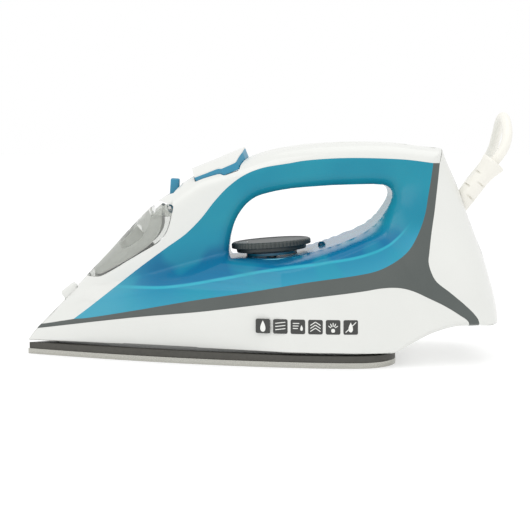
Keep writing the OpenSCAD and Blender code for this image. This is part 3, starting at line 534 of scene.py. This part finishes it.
# Polypropylene: waxy and satin, with a faint mottle.
grey_pp, pp_tree, pp_shader, at = new_material("Moulded_grey_PP", Roughness=0.45, IOR=1.49)
misty = add_node(pp_tree, "ShaderNodeTexNoise", {"Vector": at, "Scale": 300, "Detail": 3})
pp_tone = add_node(pp_tree, "ShaderNodeMix", {0: misty.outputs["Fac"], 6: tone("#C3C5C0"),
                                              7: tone("#D2D4CF")}, data_type="RGBA")
pp_tree.links.new(pp_tone.outputs[2], pp_shader.inputs["Base Color"])
well_line = np.vstack([smooth_line(WELL), smooth_line(WELL_FLOOR)])
filler_well = body_surface(WALL + 0.6, solid=True)
filler_well.name = "Filler_well"
cut(filler_well, slab(well_line), "INTERSECT")
hollow = body_surface(2 * WALL + 0.6, solid=True)
inner_line = shifted(well_line, -FLOOR_T)
cut(hollow, slab(inner_line), "INTERSECT")
cut(filler_well, hollow, "DIFFERENCE")
bpy.ops.mesh.primitive_cylinder_add(vertices=64, radius=INLET_R * MM, depth=60 * MM)
cut(filler_well, placed(bpy.context.object, INLET_AT, INLET_TILT), "DIFFERENCE")
finish_piece(filler_well, grey_pp, "root", "well_grey", "filler_well")

# ---------------------------------------------------------------------------------------------
# Rear cover. White ABS round the heel, on which the iron stands on end, with an opening for the
# strain relief. Two screws hold it to the lower body.
GUARD_AT, GUARD_TILT, GUARD_OPENING_R = (117.5, 0, 84.8), 39, 7.1
rear_line = np.vstack([[(113.9, 200), (113.9, 131)], smooth_line(REAR_FRONT), [(200, 10), (200, 200)]])
rear_cover = body_piece("Rear_cover", rear_line)
bpy.ops.mesh.primitive_cylinder_add(vertices=64, radius=GUARD_OPENING_R * MM, depth=50 * MM)
opening = bpy.context.object
opening.data.transform(Matrix.Translation((0, 0, 25 * MM)))
cut(rear_cover, placed(opening, GUARD_AT, GUARD_TILT), "DIFFERENCE")
finish_piece(rear_cover, white_abs, "root", "white_shell", "rear_cover")

# ---------------------------------------------------------------------------------------------
# Water tank and grip. Clear blue SAN, welded in two halves and clipped under the upper shell.
# Water stands up to a ledge, and what is inside shows through as deeper and paler patches.
LEDGE = [(-71.6, 45.3), (-55.1, 46.3), (-22.5, 51.8), (9.6, 58.2), (39.3, 62.6), (64.1, 67.6),
         (79.4, 74.7), (89.3, 83)]
X_SPAN = (-120, 110)
trim_top = smooth_line(TRIM_UP)
tank_line = smooth_line(TANK_TOP)
SEAM_FRONT, SEAM_REAR = 81, 92.5
DIAL_AT, DIAL_TILT, SHAFT_HOLE_R = (7.4, 0, 65.8), -4.2, 4.6
LAMP_AT, LAMP_HOLE_R = (39, 0, 68), 2.5
# Styrene-acrylonitrile: a deep clear blue, paler at the nose, below the ledge and where a rib
# stands close behind the wall, with one thin bright line along the ledge.
blue, blue_tree, blue_shader, at = new_material(
    "Clear_blue_SAN", Roughness=0.2, IOR=1.45, Specular_IOR_Level=0.3)
split = add_node(blue_tree, "ShaderNodeSeparateXYZ", {0: at})
along_x = add_node(blue_tree, "ShaderNodeMapRange",
                   {0: split.outputs["X"], 1: X_SPAN[0] * MM, 2: X_SPAN[1] * MM})
ledge = add_node(blue_tree, "ShaderNodeFloatCurve", {1: along_x.outputs[0]})
bend = ledge.mapping.curves[0]
for i, (x, z) in enumerate(LEDGE):
    spot = ((x - X_SPAN[0]) / (X_SPAN[1] - X_SPAN[0]), z / 100)
    if i < 2:
        bend.points[i].location = spot
    else:
        bend.points.new(*spot)
ledge.mapping.update()
ledge_z = add_node(blue_tree, "ShaderNodeMath", {0: ledge.outputs[0], 1: 0.1}, operation="MULTIPLY")
above = add_node(blue_tree, "ShaderNodeMath", {0: split.outputs["Z"], 1: ledge_z.outputs[0]},
                 operation="SUBTRACT")
level = add_node(blue_tree, "ShaderNodeMapRange", {0: above.outputs[0], 1: -0.025, 2: 0.025})
depth = add_node(blue_tree, "ShaderNodeValToRGB", {0: level.outputs[0]})
STOPS = [(0.10, "#3D9DB6"), (0.40, "#2A8CAB"), (0.475, "#2688A8"), (0.487, "#2FA6BC"),
         (0.505, "#2FA6BC"), (0.52, "#0E6F9A"), (0.75, "#0B6A93"), (1.0, "#147B9B")]
for element, (position, colour) in zip(depth.color_ramp.elements, (STOPS[0], STOPS[-1])):
    element.position, element.color = position, tone(colour)
for position, colour in STOPS[1:-1]:
    depth.color_ramp.elements.new(position).color = tone(colour)
cells = add_node(blue_tree, "ShaderNodeTexNoise", {"Vector": at, "Scale": 38, "Detail": 1})
pale = add_node(blue_tree, "ShaderNodeMapRange",
                {0: cells.outputs["Fac"], 1: 0.52, 2: 0.62, 3: 0, 4: 0.45})
inner = add_node(blue_tree, "ShaderNodeMix", {0: pale.outputs[0], 6: depth.outputs[0],
                                              7: tone("#2496AA")}, data_type="RGBA")
high = add_node(blue_tree, "ShaderNodeMapRange",
                {0: split.outputs["Z"], 1: 0.074, 2: 0.088}, interpolation_type="SMOOTHSTEP")
grip_cells = add_node(blue_tree, "ShaderNodeTexNoise", {"Vector": at, "Scale": 26, "Detail": 1})
grip_tone = add_node(blue_tree, "ShaderNodeMix", {0: grip_cells.outputs["Fac"], 6: tone("#0F7896"),
                                                  7: tone("#2B98A8")}, data_type="RGBA")
upper = add_node(blue_tree, "ShaderNodeMix", {0: high.outputs[0], 6: inner.outputs[2],
                                              7: grip_tone.outputs[2]}, data_type="RGBA")
front = add_node(blue_tree, "ShaderNodeMapRange",
                 {0: split.outputs["X"], 1: -0.062, 2: -0.098, 3: 0, 4: 0.8},
                 interpolation_type="SMOOTHSTEP")
whole = add_node(blue_tree, "ShaderNodeMix", {0: front.outputs[0], 6: upper.outputs[2],
                                              7: tone("#4A9FB6")}, data_type="RGBA")
blue_tree.links.new(whole.outputs[2], blue_shader.inputs["Base Color"])
lower_seam = [(-160, SEAM_FRONT), (10, SEAM_FRONT), (60, SEAM_REAR), (150, SEAM_REAR), (150, -20),
              (-160, -20)]
blue_line = np.vstack([trim_top[trim_top[:, 0] > -115], tank_line[::-1][1:]])
for name, how, node in (("Water_tank", "INTERSECT", "water_tank"),
                        ("Handle_grip", "DIFFERENCE", "handle_grip")):
    blue_part = body_piece(name, blue_line)
    cut(blue_part, slab(lower_seam), how)
    if node == "water_tank":
        bpy.ops.mesh.primitive_cylinder_add(vertices=48, radius=SHAFT_HOLE_R * MM, depth=30 * MM)
        cut(blue_part, placed(bpy.context.object, DIAL_AT, DIAL_TILT), "DIFFERENCE")
        bpy.ops.mesh.primitive_cylinder_add(vertices=32, radius=LAMP_HOLE_R * MM, depth=30 * MM)
        cut(blue_part, placed(bpy.context.object, LAMP_AT), "DIFFERENCE")
    finish_piece(blue_part, blue, "root", "blue_clear", node)
bpy.data.objects.remove(master)

# ---------------------------------------------------------------------------------------------
# Soleplate and heat skirt. A polished stainless plate with steam holes near its edge, pressed on
# a die-cast heater, under a dark glass-filled skirt that keeps the heat from the body.
# Stainless steel polished along its length: fine streaks that blur the floor's reflection. They
# are drawn coarser than the real ones so that they show.
steel, steel_tree, steel_shader, at = new_material(
    "Polished_stainless", Metallic=1.0, Base_Color=tone("#B4B3AC"))
rub = add_node(steel_tree, "ShaderNodeMapping", {"Vector": at, "Scale": (60, 1400, 1400)})
brush = add_node(steel_tree, "ShaderNodeTexNoise", {"Vector": rub.outputs[0], "Scale": 1, "Detail": 3})
polish = add_node(steel_tree, "ShaderNodeMapRange", {0: brush.outputs["Fac"], 3: 0.2, 4: 0.34})
steel_tree.links.new(polish.outputs[0], steel_shader.inputs["Roughness"])
STEAM_HOLE_R, STEAM_HOLE_PITCH = 1.3, 16
soleplate = plate("Soleplate", sole_line(), 0, SOLE_T)
rounded(soleplate, 0.7)
holes = []
for x in range(-120, 57, STEAM_HOLE_PITCH):
    for side in (-1, 1):
        y = side * (float(plan_half(np.array(x))) - 9) * 0.86
        bpy.ops.mesh.primitive_cylinder_add(vertices=24, radius=STEAM_HOLE_R * MM, depth=20 * MM,
                                            location=(x * MM, y * MM, 0))
        holes.append(bpy.context.object)
bpy.ops.object.select_all(action="DESELECT")
for hole in holes:
    hole.select_set(True)
bpy.context.view_layer.objects.active = holes[0]
bpy.ops.object.join()
cut(soleplate, bpy.context.object, "DIFFERENCE")
finish_piece(soleplate, steel, "root", "polished_sole", "soleplate")

# Glass-filled nylon: nearly black, with pale fibres under a dull, slightly rough skin.
phenolic, phenolic_tree, phenolic_shader, at = new_material(
    "Glass_filled_skirt", Roughness=0.55, IOR=1.5)
fibre = add_node(phenolic_tree, "ShaderNodeTexNoise", {"Vector": at, "Scale": 500, "Detail": 4})
fibre_tone = add_node(phenolic_tree, "ShaderNodeMix", {0: fibre.outputs["Fac"], 6: tone("#3A3935"),
                                                       7: tone("#4C4A44")}, data_type="RGBA")
fibre_bump = add_node(phenolic_tree, "ShaderNodeBump", {"Height": fibre.outputs["Fac"],
                                                        "Strength": 0.2, "Distance": 0.0003})
phenolic_tree.links.new(fibre_tone.outputs[2], phenolic_shader.inputs["Base Color"])
phenolic_tree.links.new(fibre_bump.outputs[0], phenolic_shader.inputs["Normal"])
skirt = plate("Heat_skirt", sole_line(0.5), SOLE_T, SKIRT_TOP)
rounded(skirt, 0.5)
cut(skirt, plate("Skirt_opening", sole_line(6.6), 1, 12), "DIFFERENCE")
finish_piece(skirt, phenolic, "root", "dark_heat_plastic", "heat_skirt")

# ---------------------------------------------------------------------------------------------
# Temperature dial. A dark grey moulded knob with sixty ribs round its flange, a dished top and a
# pointer. It stands in a shallow ring moulded in the tank's deck and turns on a steel shaft. The
# lit edge of that ring is drawn as a thin pale bead, a painted highlight.
RIBS = 60


def turned(name, profile, sides=96):
    """A turned solid: a disc extruded ring by ring through pairs of radius and height."""
    bpy.ops.object.select_all(action="DESELECT")
    radius, z = profile[0]
    bpy.ops.mesh.primitive_circle_add(vertices=sides, radius=radius * MM, fill_type="NGON")
    made = bpy.context.object
    made.name = name
    made.data.transform(Matrix.Translation((0, 0, z * MM)))
    bpy.ops.object.mode_set(mode="EDIT")
    bpy.ops.mesh.select_all(action="SELECT")
    for next_radius, next_z in profile[1:]:
        bpy.ops.mesh.extrude_region_move(TRANSFORM_OT_translate={"value": (0, 0, (next_z - z) * MM)})
        part = next_radius / radius
        bpy.ops.transform.resize(value=(part, part, 1), center_override=(0, 0, 0))
        radius, z = next_radius, next_z
    bpy.ops.mesh.select_all(action="SELECT")
    bpy.ops.mesh.normals_make_consistent(inside=False)
    bpy.ops.object.mode_set(mode="OBJECT")
    return made


dial = turned("Temperature_dial", [
    (20, 0.2), (21.6, 0.4), (22, 1), (22, 2.9), (24.4, 3.05), (25, 3.4), (25, 5.7), (24.6, 6.3),
    (23.6, 6.75), (22.4, 6.8), (21.6, 6.3), (12, 5.9), (4, 5.8)], sides=RIBS * 6)
for vertex in dial.data.vertices:
    distance = math.hypot(vertex.co.x, vertex.co.y) / MM
    if distance > 24.2 and vertex.co.z > 3 * MM:
        turn = math.atan2(vertex.co.y, vertex.co.x) * RIBS
        keep = 1 - 0.016 * max(0, math.cos(turn)) ** 2
        vertex.co.x *= keep
        vertex.co.y *= keep
placed(dial, DIAL_AT, DIAL_TILT)
# Phenolic moulding: dark grey with paler specks, and a matt skin that hands have dulled.
knob, knob_tree, knob_shader, at = new_material("Moulded_dial_grey", Roughness=0.42, IOR=1.52)
worn = add_node(knob_tree, "ShaderNodeTexNoise", {"Vector": at, "Scale": 350, "Detail": 3})
knob_tone = add_node(knob_tree, "ShaderNodeMix", {0: worn.outputs["Fac"], 6: tone("#343938"),
                                                  7: tone("#454B49")}, data_type="RGBA")
knob_bump = add_node(knob_tree, "ShaderNodeBump", {"Height": worn.outputs["Fac"], "Strength": 0.15,
                                                   "Distance": 0.0003})
knob_tree.links.new(knob_tone.outputs[2], knob_shader.inputs["Base Color"])
knob_tree.links.new(knob_bump.outputs[0], knob_shader.inputs["Normal"])
finish_piece(dial, knob, "dial", "dial_grey", "temperature_dial", angle=25)
pointer = plate("Dial_pointer", [(-20.6, 0), (-14.5, 1.5), (-14.5, -1.5)], 6.0, 6.5)
rounded(pointer, 0.15, 2)
print_white, _, _, _ = new_material("Printed_white", Base_Color=tone("#E6E7E3"), Roughness=0.5)
finish_piece(placed(pointer, DIAL_AT, DIAL_TILT), print_white, "dial", "dial_grey")

# A thin bead laid on the deck round the dial, coloured pale: a painted highlight for the light on the
# recess's edge.
RING_R, RING_SQUASH = 27.4, 0.93
RING_DROP, DECK_SLOPE = 3.6, 0.065
bpy.ops.object.select_all(action="DESELECT")
bpy.ops.mesh.primitive_torus_add(major_segments=160, minor_segments=10, major_radius=RING_R * MM,
                                 minor_radius=0.5 * MM)
ring = bpy.context.object
ring.name = "Deck_ring_painted_highlight"
tank = bpy.data.objects["Water_tank"]
for vertex in ring.data.vertices:
    angle = math.atan2(vertex.co.y, vertex.co.x)
    x = RING_R * RING_SQUASH * math.cos(angle) + DIAL_AT[0] + 0.6
    y = RING_R * math.sin(angle)
    hit, spot, _, _ = tank.ray_cast(Vector((x, y, 90)) * MM, Vector((0, 0, -1)))
    vertex.co.x += (x - RING_R * math.cos(angle)) * MM
    deck = (DIAL_AT[2] - RING_DROP + DECK_SLOPE * (x - DIAL_AT[0])) * MM
    vertex.co.z += min(spot.z, deck) if hit else deck
# Pale blue: a painted highlight along the recess's edge.
painted_highlight_blue, _, _, _ = new_material("Clear_blue_rim_painted_highlight", Base_Color=tone("#5FB4C6"), Roughness=0.15,
                                  IOR=1.57, Coat_Weight=0.4)
finish_piece(ring, painted_highlight_blue, "root", "blue_clear")

# ---------------------------------------------------------------------------------------------
# Pump buttons. Two blue ABS thumb pads side by side, each with a white cap moulded over its top,
# on sprung pistons. The left one sprays water and the right one gives a burst of steam.
# Solid blue ABS: glossy, with the faint swirls of its colour in the melt.
blue_abs, blue_abs_tree, blue_abs_shader, at = new_material(
    "Moulded_blue_ABS", Roughness=0.28, IOR=1.54, Coat_Weight=0.25)
swirl = add_node(blue_abs_tree, "ShaderNodeTexNoise", {"Vector": at, "Scale": 60, "Detail": 2})
swirl_tone = add_node(blue_abs_tree, "ShaderNodeMix", {0: swirl.outputs["Fac"], 6: tone("#187C9D"),
                                                       7: tone("#2389AA")}, data_type="RGBA")
blue_abs_tree.links.new(swirl_tone.outputs[2], blue_abs_shader.inputs["Base Color"])
BUTTON_TOP, BUTTON_CROWN, BUTTON_SKIRT, CAP_T = 4.3, 6.0, 6.4, 0.9
SPRING_AT, POCKET_R = (-4, 8.6, -5.5), 4.2


def crown_z(y):
    """The height of a button's blue body at y, both in metres, before the button is placed."""
    return (BUTTON_TOP - BUTTON_CROWN * (abs(y) / MM / 17) ** 1.7) * MM


for name, side, body, node in (("Spray_button", -1, "spray", "spray_button"),
                               ("Steam_button", 1, "burst", "steam_button")):
    button = plate(name, [(x, side * y) for x, y in BUTTON_HALF], -BUTTON_SKIRT, 0)
    bpy.ops.object.mode_set(mode="EDIT")
    for step in range(1, 14):
        bpy.ops.mesh.select_all(action="SELECT")
        bpy.ops.mesh.bisect(plane_co=(0, side * 1.3 * step * MM, 0), plane_no=(0, 1, 0))
    bpy.ops.mesh.select_all(action="DESELECT")
    bpy.ops.object.mode_set(mode="OBJECT")
    for face in button.data.polygons:
        face.select = face.normal.z > 0.9
    for vertex in button.data.vertices:
        if vertex.co.z > -0.1 * MM:
            vertex.co.z = crown_z(vertex.co.y)
    bpy.ops.object.mode_set(mode="EDIT")
    bpy.ops.mesh.extrude_region_move(TRANSFORM_OT_translate={"value": (0, 0, CAP_T * MM)})
    bpy.ops.object.mode_set(mode="OBJECT")
    marks = [int(face.center.z > crown_z(face.center.y) + 0.1 * MM) for face in button.data.polygons]
    placed(button, BUTTONS_AT, BUTTONS_TILT)
    finish_piece(button, [blue_abs, white_abs], body, "blue_solid", node, angle=40)
    button.data.polygons.foreach_set("material_index", marks)
    rounded(button, 0.3, 3, 50)
    inside = [(x * 0.9, side * (1.6 + y * 0.82)) for x, y in BUTTON_HALF]
    well = plate("Button_hollow", inside, -12, -2.2)
    cut(button, placed(well, BUTTONS_AT, BUTTONS_TILT), "DIFFERENCE")
    bpy.ops.mesh.primitive_cylinder_add(vertices=40, radius=POCKET_R * MM, depth=13 * MM)
    pocket = bpy.context.object
    pocket.data.transform(Matrix.Translation(
        Vector((SPRING_AT[0], side * SPRING_AT[1], SPRING_AT[2])) * MM))
    cut(button, placed(pocket, BUTTONS_AT, BUTTONS_TILT), "DIFFERENCE")

# ---------------------------------------------------------------------------------------------
# Steam lever. A blue ABS paddle that stands out of a curved slot in the upper shell. Its arm ends
# in a hub that is pressed on the valve rod, which it turns.
bpy.ops.object.select_all(action="DESELECT")
bpy.ops.mesh.primitive_cube_add(size=1)
lever = bpy.context.object
lever.name = "Steam_lever"
lever.data.transform(Matrix.Translation(Vector((2.8, 0, 11)) * MM)
                     @ Matrix.Diagonal((5.6 * MM, 8 * MM, 22 * MM, 1)))
rounded(lever, 1.1, 4)
placed(lever, (LEVER_X - LEVER_ARM - 3, 0, 89.5), 4)
hub = turned("Lever_hub", [(4, 0), (4.4, 0.3), (4.4, 4.7), (4, 5)], 48)
placed(hub, (LEVER_X, 0, 88.5))
bpy.ops.object.select_all(action="DESELECT")
bpy.ops.mesh.primitive_cube_add(size=1)
arm = bpy.context.object
arm.data.transform(Matrix.Translation(Vector((LEVER_X - LEVER_ARM / 2, 0, 90.5)) * MM)
                   @ Matrix.Diagonal((LEVER_ARM * MM, 5 * MM, 2 * MM, 1)))
cut(lever, arm, "UNION")
cut(lever, hub, "UNION")
bpy.ops.mesh.primitive_cylinder_add(vertices=32, radius=1.58 * MM, depth=5 * MM,
                                    location=Vector((LEVER_X, 0, 90)) * MM)
cut(lever, bpy.context.object, "DIFFERENCE")
finish_piece(lever, blue_abs, "lever", "blue_solid", "steam_lever")

# ---------------------------------------------------------------------------------------------
# Spray nozzle. A small white ABS block in front of the lid, set in a notch of the upper shell,
# with its jet drilled through towards the nose.
bpy.ops.object.select_all(action="DESELECT")
bpy.ops.mesh.primitive_cube_add(size=1)
nozzle = bpy.context.object
nozzle.name = "Spray_nozzle"
nozzle.data.transform(Matrix.Translation(Vector((-0.6, 0, -1.6)) * MM)
                      @ Matrix.Diagonal((10.6 * MM, 9.6 * MM, 8.6 * MM, 1)))
rounded(nozzle, 1.9, 5)
placed(nozzle, NOZZLE_AT, NOZZLE_TILT)
bpy.ops.mesh.primitive_cylinder_add(vertices=24, radius=1 * MM, depth=9 * MM,
                                    rotation=(0, math.pi / 2, 0))
jet = bpy.context.object
bpy.ops.object.transform_apply(rotation=True)
cut(nozzle, placed(jet, (-123.5, 0, 37.4), NOZZLE_TILT), "DIFFERENCE")
finish_piece(nozzle, white_abs, "root", "white_shell", "spray_nozzle")

# ---------------------------------------------------------------------------------------------
# Strain relief. A tapered PVC sleeve on a ball joint, slit in staggered rows so that it bends,
# with a flared mouth where the lead leaves it.
guard = turned("Cord_guard", [(5.2, 2), (6, 2.6), (6, 12), (5.9, 24), (5.6, 34), (5.9, 38), (6.8, 42),
                              (7.7, 45), (8, 46.4), (7.6, 47)], 96)
cutters = []
for row in range(5):
    for side in (0, 1):
        turn = 180 * side + (90 if row % 2 else 0) + 25
        bpy.ops.mesh.primitive_cube_add(size=1)
        slit = bpy.context.object
        slit.data.transform(Matrix.Translation(Vector((7.6, 0, 15 + 5.2 * row)) * MM)
                            @ Matrix.Diagonal((6 * MM, 9 * MM, 1.1 * MM, 1)))
        placed(slit, (0, 0, 0), 0, turn)
        cutters.append(slit)
bpy.ops.object.select_all(action="DESELECT")
for slit in cutters:
    slit.select_set(True)
bpy.context.view_layer.objects.active = cutters[0]
bpy.ops.object.join()
cut(guard, bpy.context.object, "DIFFERENCE")
bpy.ops.mesh.primitive_uv_sphere_add(segments=60, ring_count=31, radius=7.5 * MM)
cut(guard, bpy.context.object, "UNION")
bpy.ops.mesh.primitive_cylinder_add(vertices=44, radius=3.6 * MM, depth=120 * MM)
cut(guard, bpy.context.object, "DIFFERENCE")
finish_piece(placed(guard, GUARD_AT, GUARD_TILT), pvc, "guard", "guard_white", "cord_guard")

# ---------------------------------------------------------------------------------------------
# Mains plug. Moulded PVC over a nylon core, with three round brass pins in a row, the middle one
# set over. It is moulded on the end of the lead.
PLUG_AT = (-60, 112, 18)
plug = turned("Mains_plug", [(4, -14), (7.6, -13.8), (8.4, -13), (10, -8), (12.5, -3.5), (15.2, -0.6),
                             (17, 0.6), (17.8, 1.6), (18, 3), (18, 10.6), (17.6, 11.6), (16.8, 12),
                             (15.6, 12)], 96)
plug.data.transform(Matrix.Rotation(math.radians(-90), 4, "Y"))
for y in (-9.5, 0, 9.5):
    bpy.ops.mesh.primitive_cylinder_add(vertices=32, radius=2.42 * MM, depth=20 * MM,
                                        rotation=(0, math.pi / 2, 0),
                                        location=Vector((-14, y, 3 if y == 0 else 0)) * MM)
    bpy.ops.object.transform_apply(location=True, rotation=True)
    cut(plug, bpy.context.object, "DIFFERENCE")
finish_piece(placed(plug, PLUG_AT), pvc, "root", "cord_white", "mains_plug")

# ---------------------------------------------------------------------------------------------
# Care marks. Six plain pictograms on the left side of the lower body: dark foil squares with
# rounded corners, hot-stamped, and the signs left white in them.
MARK, MARK_PITCH, MARK_X, MARK_Z = 8.6, 10.4, 1.9, 24.6
whole_edge = smooth_line(OUTLINE, closed=True)
whole_hole = smooth_line(HOLE, closed=True)


def stamped(shapes, lift):
    """Flat shapes in x and z, laid on the left side of the body, as one mesh."""
    made = []
    for shape in shapes:
        bpy.ops.mesh.primitive_circle_add(vertices=len(shape), fill_type="NGON")
        made.append(bpy.context.object)
        for vertex, (x, z) in zip(made[-1].data.vertices, shape):
            y = float(half_width(np.array(float(x)), np.array(float(z)), whole_edge, whole_hole, 0))
            vertex.co = Vector((x, -y - lift, z)) * MM
    bpy.ops.object.select_all(action="DESELECT")
    for one in made:
        one.select_set(True)
    bpy.context.view_layer.objects.active = made[0]
    bpy.ops.object.join()
    return bpy.context.object


def rounded_square(cx, cz, half, corner=1.0):
    """A square's outline with rounded corners."""
    flat = half - corner
    return [(cx + sx * flat + corner * math.cos(a), cz + sz * flat + corner * math.sin(a))
            for sx, sz, start in ((1, 1, 0), (-1, 1, 90), (-1, -1, 180), (1, -1, 270))
            for a in [math.radians(start + 22.5 * i) for i in range(5)]]


def bar(x1, z1, x2, z2, width=0.5):
    """A straight stroke's outline."""
    dx, dz = x2 - x1, z2 - z1
    size = math.hypot(dx, dz)
    nx, nz = -dz / size * width / 2, dx / size * width / 2
    return [(x1 + nx, z1 + nz), (x1 - nx, z1 - nz), (x2 - nx, z2 - nz), (x2 + nx, z2 + nz)]


def drop(cx, cz, size):
    """A water drop's outline."""
    return [(cx + size * 0.62 * math.sin(a) * math.sin(a / 2) ** 1.2, cz + size * math.cos(a))
            for a in [math.tau * i / 24 for i in range(24)]]


centres = [MARK_X + MARK_PITCH * i for i in range(6)]
squares = stamped([rounded_square(x, MARK_Z, MARK / 2) for x in centres], 0.12)
squares.name = "Care_marks"
ink, _, _, _ = new_material("Stamped_black", Base_Color=tone("#3A3B39"), Roughness=0.5)
finish_piece(squares, ink, "root", "white_shell")
c = centres
lines = ([drop(c[0], MARK_Z, 3.4)] + [bar(c[1] - 3, MARK_Z - 2 + 1.9 * i, c[1] + 3, MARK_Z - 1.2 + 1.9 * i)
                                      for i in range(3)]
         + [bar(c[2] - 3, MARK_Z - 1 + 1.5 * i, c[2] + 0.4 * i, MARK_Z - 1 + 1.5 * i) for i in range(3)]
         + [drop(c[2] + 2.2, MARK_Z - 0.6, 1.7)]
         + [bar(c[3] - 3, MARK_Z - 2.6 + 1.8 * i, c[3], MARK_Z - 0.6 + 1.8 * i) for i in range(3)]
         + [bar(c[3], MARK_Z - 0.6 + 1.8 * i, c[3] + 3, MARK_Z - 2.6 + 1.8 * i) for i in range(3)]
         + [bar(c[4] + 1.4 * math.cos(a), MARK_Z - 1 + 1.4 * math.sin(a), c[4] + 3.2 * math.cos(a),
                MARK_Z - 1 + 3.6 * math.sin(a)) for a in [math.radians(30 * i) for i in range(1, 6)]]
         + [rounded_square(c[4], MARK_Z - 2, 1.1, 0.8)]
         + [drop(c[5], MARK_Z, 2.9), bar(c[5] - 3, MARK_Z - 3, c[5] + 3.2, MARK_Z + 3)])
signs = stamped(lines, 0.2)
signs.name = "Care_signs"
finish_piece(signs, print_white, "root", "white_shell")

# ---------------------------------------------------------------------------------------------
# Inner parts. The heater, steam chamber, pumps, springs, tubes, thermostat and wiring keep their
# modelled shapes; each gets the finish of what it is made of.
def plain_finish(name, base, other, grain_mm, roughness, bump_strength, metallic=0.0):
    """A finish whose colour and surface vary at the grain's size."""
    made, tree, shader, at = new_material(name, Roughness=roughness, Metallic=metallic)
    noise = add_node(tree, "ShaderNodeTexNoise",
                     {"Vector": at, "Scale": 1 / (grain_mm * MM), "Detail": 3})
    mixed = add_node(tree, "ShaderNodeMix", {0: noise.outputs["Fac"], 6: tone(base), 7: tone(other)},
                     data_type="RGBA")
    rough = add_node(tree, "ShaderNodeBump", {"Height": noise.outputs["Fac"], "Strength": bump_strength,
                                              "Distance": 0.0003})
    tree.links.new(mixed.outputs[2], shader.inputs["Base Color"])
    tree.links.new(rough.outputs[0], shader.inputs["Normal"])
    return made


cast = plain_finish("Die_cast_aluminium", "#9C9D9C", "#B0B1AF", 1.5, 0.5, 0.3, 1.0)
sheathed = plain_finish("Annealed_steel_sheath", "#6E665C", "#857B6E", 3, 0.45, 0.1, 1.0)
rubbery = plain_finish("Red_silicone", "#A8452E", "#B5523A", 2, 0.6, 0.05)
sheet_steel = plain_finish("Zinc_plated_steel", "#B9BAB7", "#C9CAC6", 4, 0.3, 0.05, 1.0)
black_epdm = plain_finish("Black_EPDM", "#202122", "#2B2C2D", 1.5, 0.7, 0.1)
natural_pp = plain_finish("Natural_nylon", "#DAD8CF", "#E3E1D9", 2, 0.45, 0.05)
porcelain = plain_finish("Steatite_ceramic", "#DDD9CE", "#E6E2D8", 1, 0.5, 0.1)
deep_blue = plain_finish("Clear_blue_lens", "#0C4A66", "#0F5674", 2, 0.2, 0.02)
brass = plain_finish("Turned_brass", "#C4A659", "#D2B56A", 1, 0.3, 0.05, 1.0)
woven = plain_finish("Woven_strap", "#26282A", "#3A3C3E", 0.8, 0.85, 0.6)
copper_red = plain_finish("Silicone_wire", "#8C3B2A", "#9A4632", 1, 0.5, 0.1)
glass = plain_finish("Neon_lamp", "#D98A63", "#E39A74", 1, 0.2, 0.02)
FINISHES = {
    "heater_casting": cast, "heating_element": sheathed, "chamber_gasket": rubbery,
    "steam_chamber_cover": sheet_steel, "filler_inlet": grey_pp,
    "lid_hinge_pin": sheet_steel, "spray_tube": natural_pp, "steam_tube": natural_pp,
    "valve_rod": sheet_steel, "rod_seal": black_epdm, "valve_seat": black_epdm,
    "spray_piston": natural_pp, "steam_piston": natural_pp, "spray_spring": sheet_steel,
    "steam_spring": sheet_steel, "spray_pump": natural_pp, "steam_pump": natural_pp,
    "dial_shaft": sheet_steel, "dial_bezel": blue_abs, "thermostat": porcelain,
    "thermal_fuse": porcelain, "pilot_lens": deep_blue, "pilot_lamp": glass,
    "terminal_block": porcelain, "cord_clamp": natural_pp, "cord_socket": natural_pp,
    "casting_screws": brass, "cover_screws": sheet_steel, "lead_wires": copper_red,
    "coil_tie": woven, "plug_pins": brass}
for node, finish in FINISHES.items():
    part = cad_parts[node]
    if not part.material_slots:
        part.data.materials.append(finish)
    for place in part.material_slots:
        place.material = finish

# ---------------------------------------------------------------------------------------------
# Studio. A pale floor that runs out of sight, a bright even surround and two large soft boxes.
bpy.ops.mesh.primitive_plane_add(size=30, location=(0, 0, -0.0002))
floor = bpy.context.object
floor.name = "Studio_floor"
paper, _, _, _ = new_material("White_paper", Base_Color=(0.6, 0.6, 0.6, 1), Roughness=0.9,
                              Emission_Color=(1, 1, 1, 1), Emission_Strength=0.45)
floor.data.materials.append(paper)
bpy.context.scene.view_settings.view_transform = "Standard"
surround = bpy.data.worlds.new("Surround")
bpy.context.scene.world = surround
surround.use_nodes = True
surround.node_tree.nodes["Background"].inputs["Color"].default_value = (1, 1, 1, 1)
surround.node_tree.nodes["Background"].inputs["Strength"].default_value = 1.0
for name, place, size, power in (("Key", (-0.5, -0.9, 1.1), 0.9, 3.2),
                                 ("Top", (0.3, 0.1, 1.3), 1.0, 2.4)):
    bpy.ops.object.light_add(type="AREA", location=place)
    lamp = bpy.context.object
    lamp.name = name
    lamp.data.size = size
    lamp.data.energy = power
    lamp.rotation_euler = (Vector((0, 0, 0.06)) - Vector(place)).to_track_quat("-Z", "Y").to_euler()
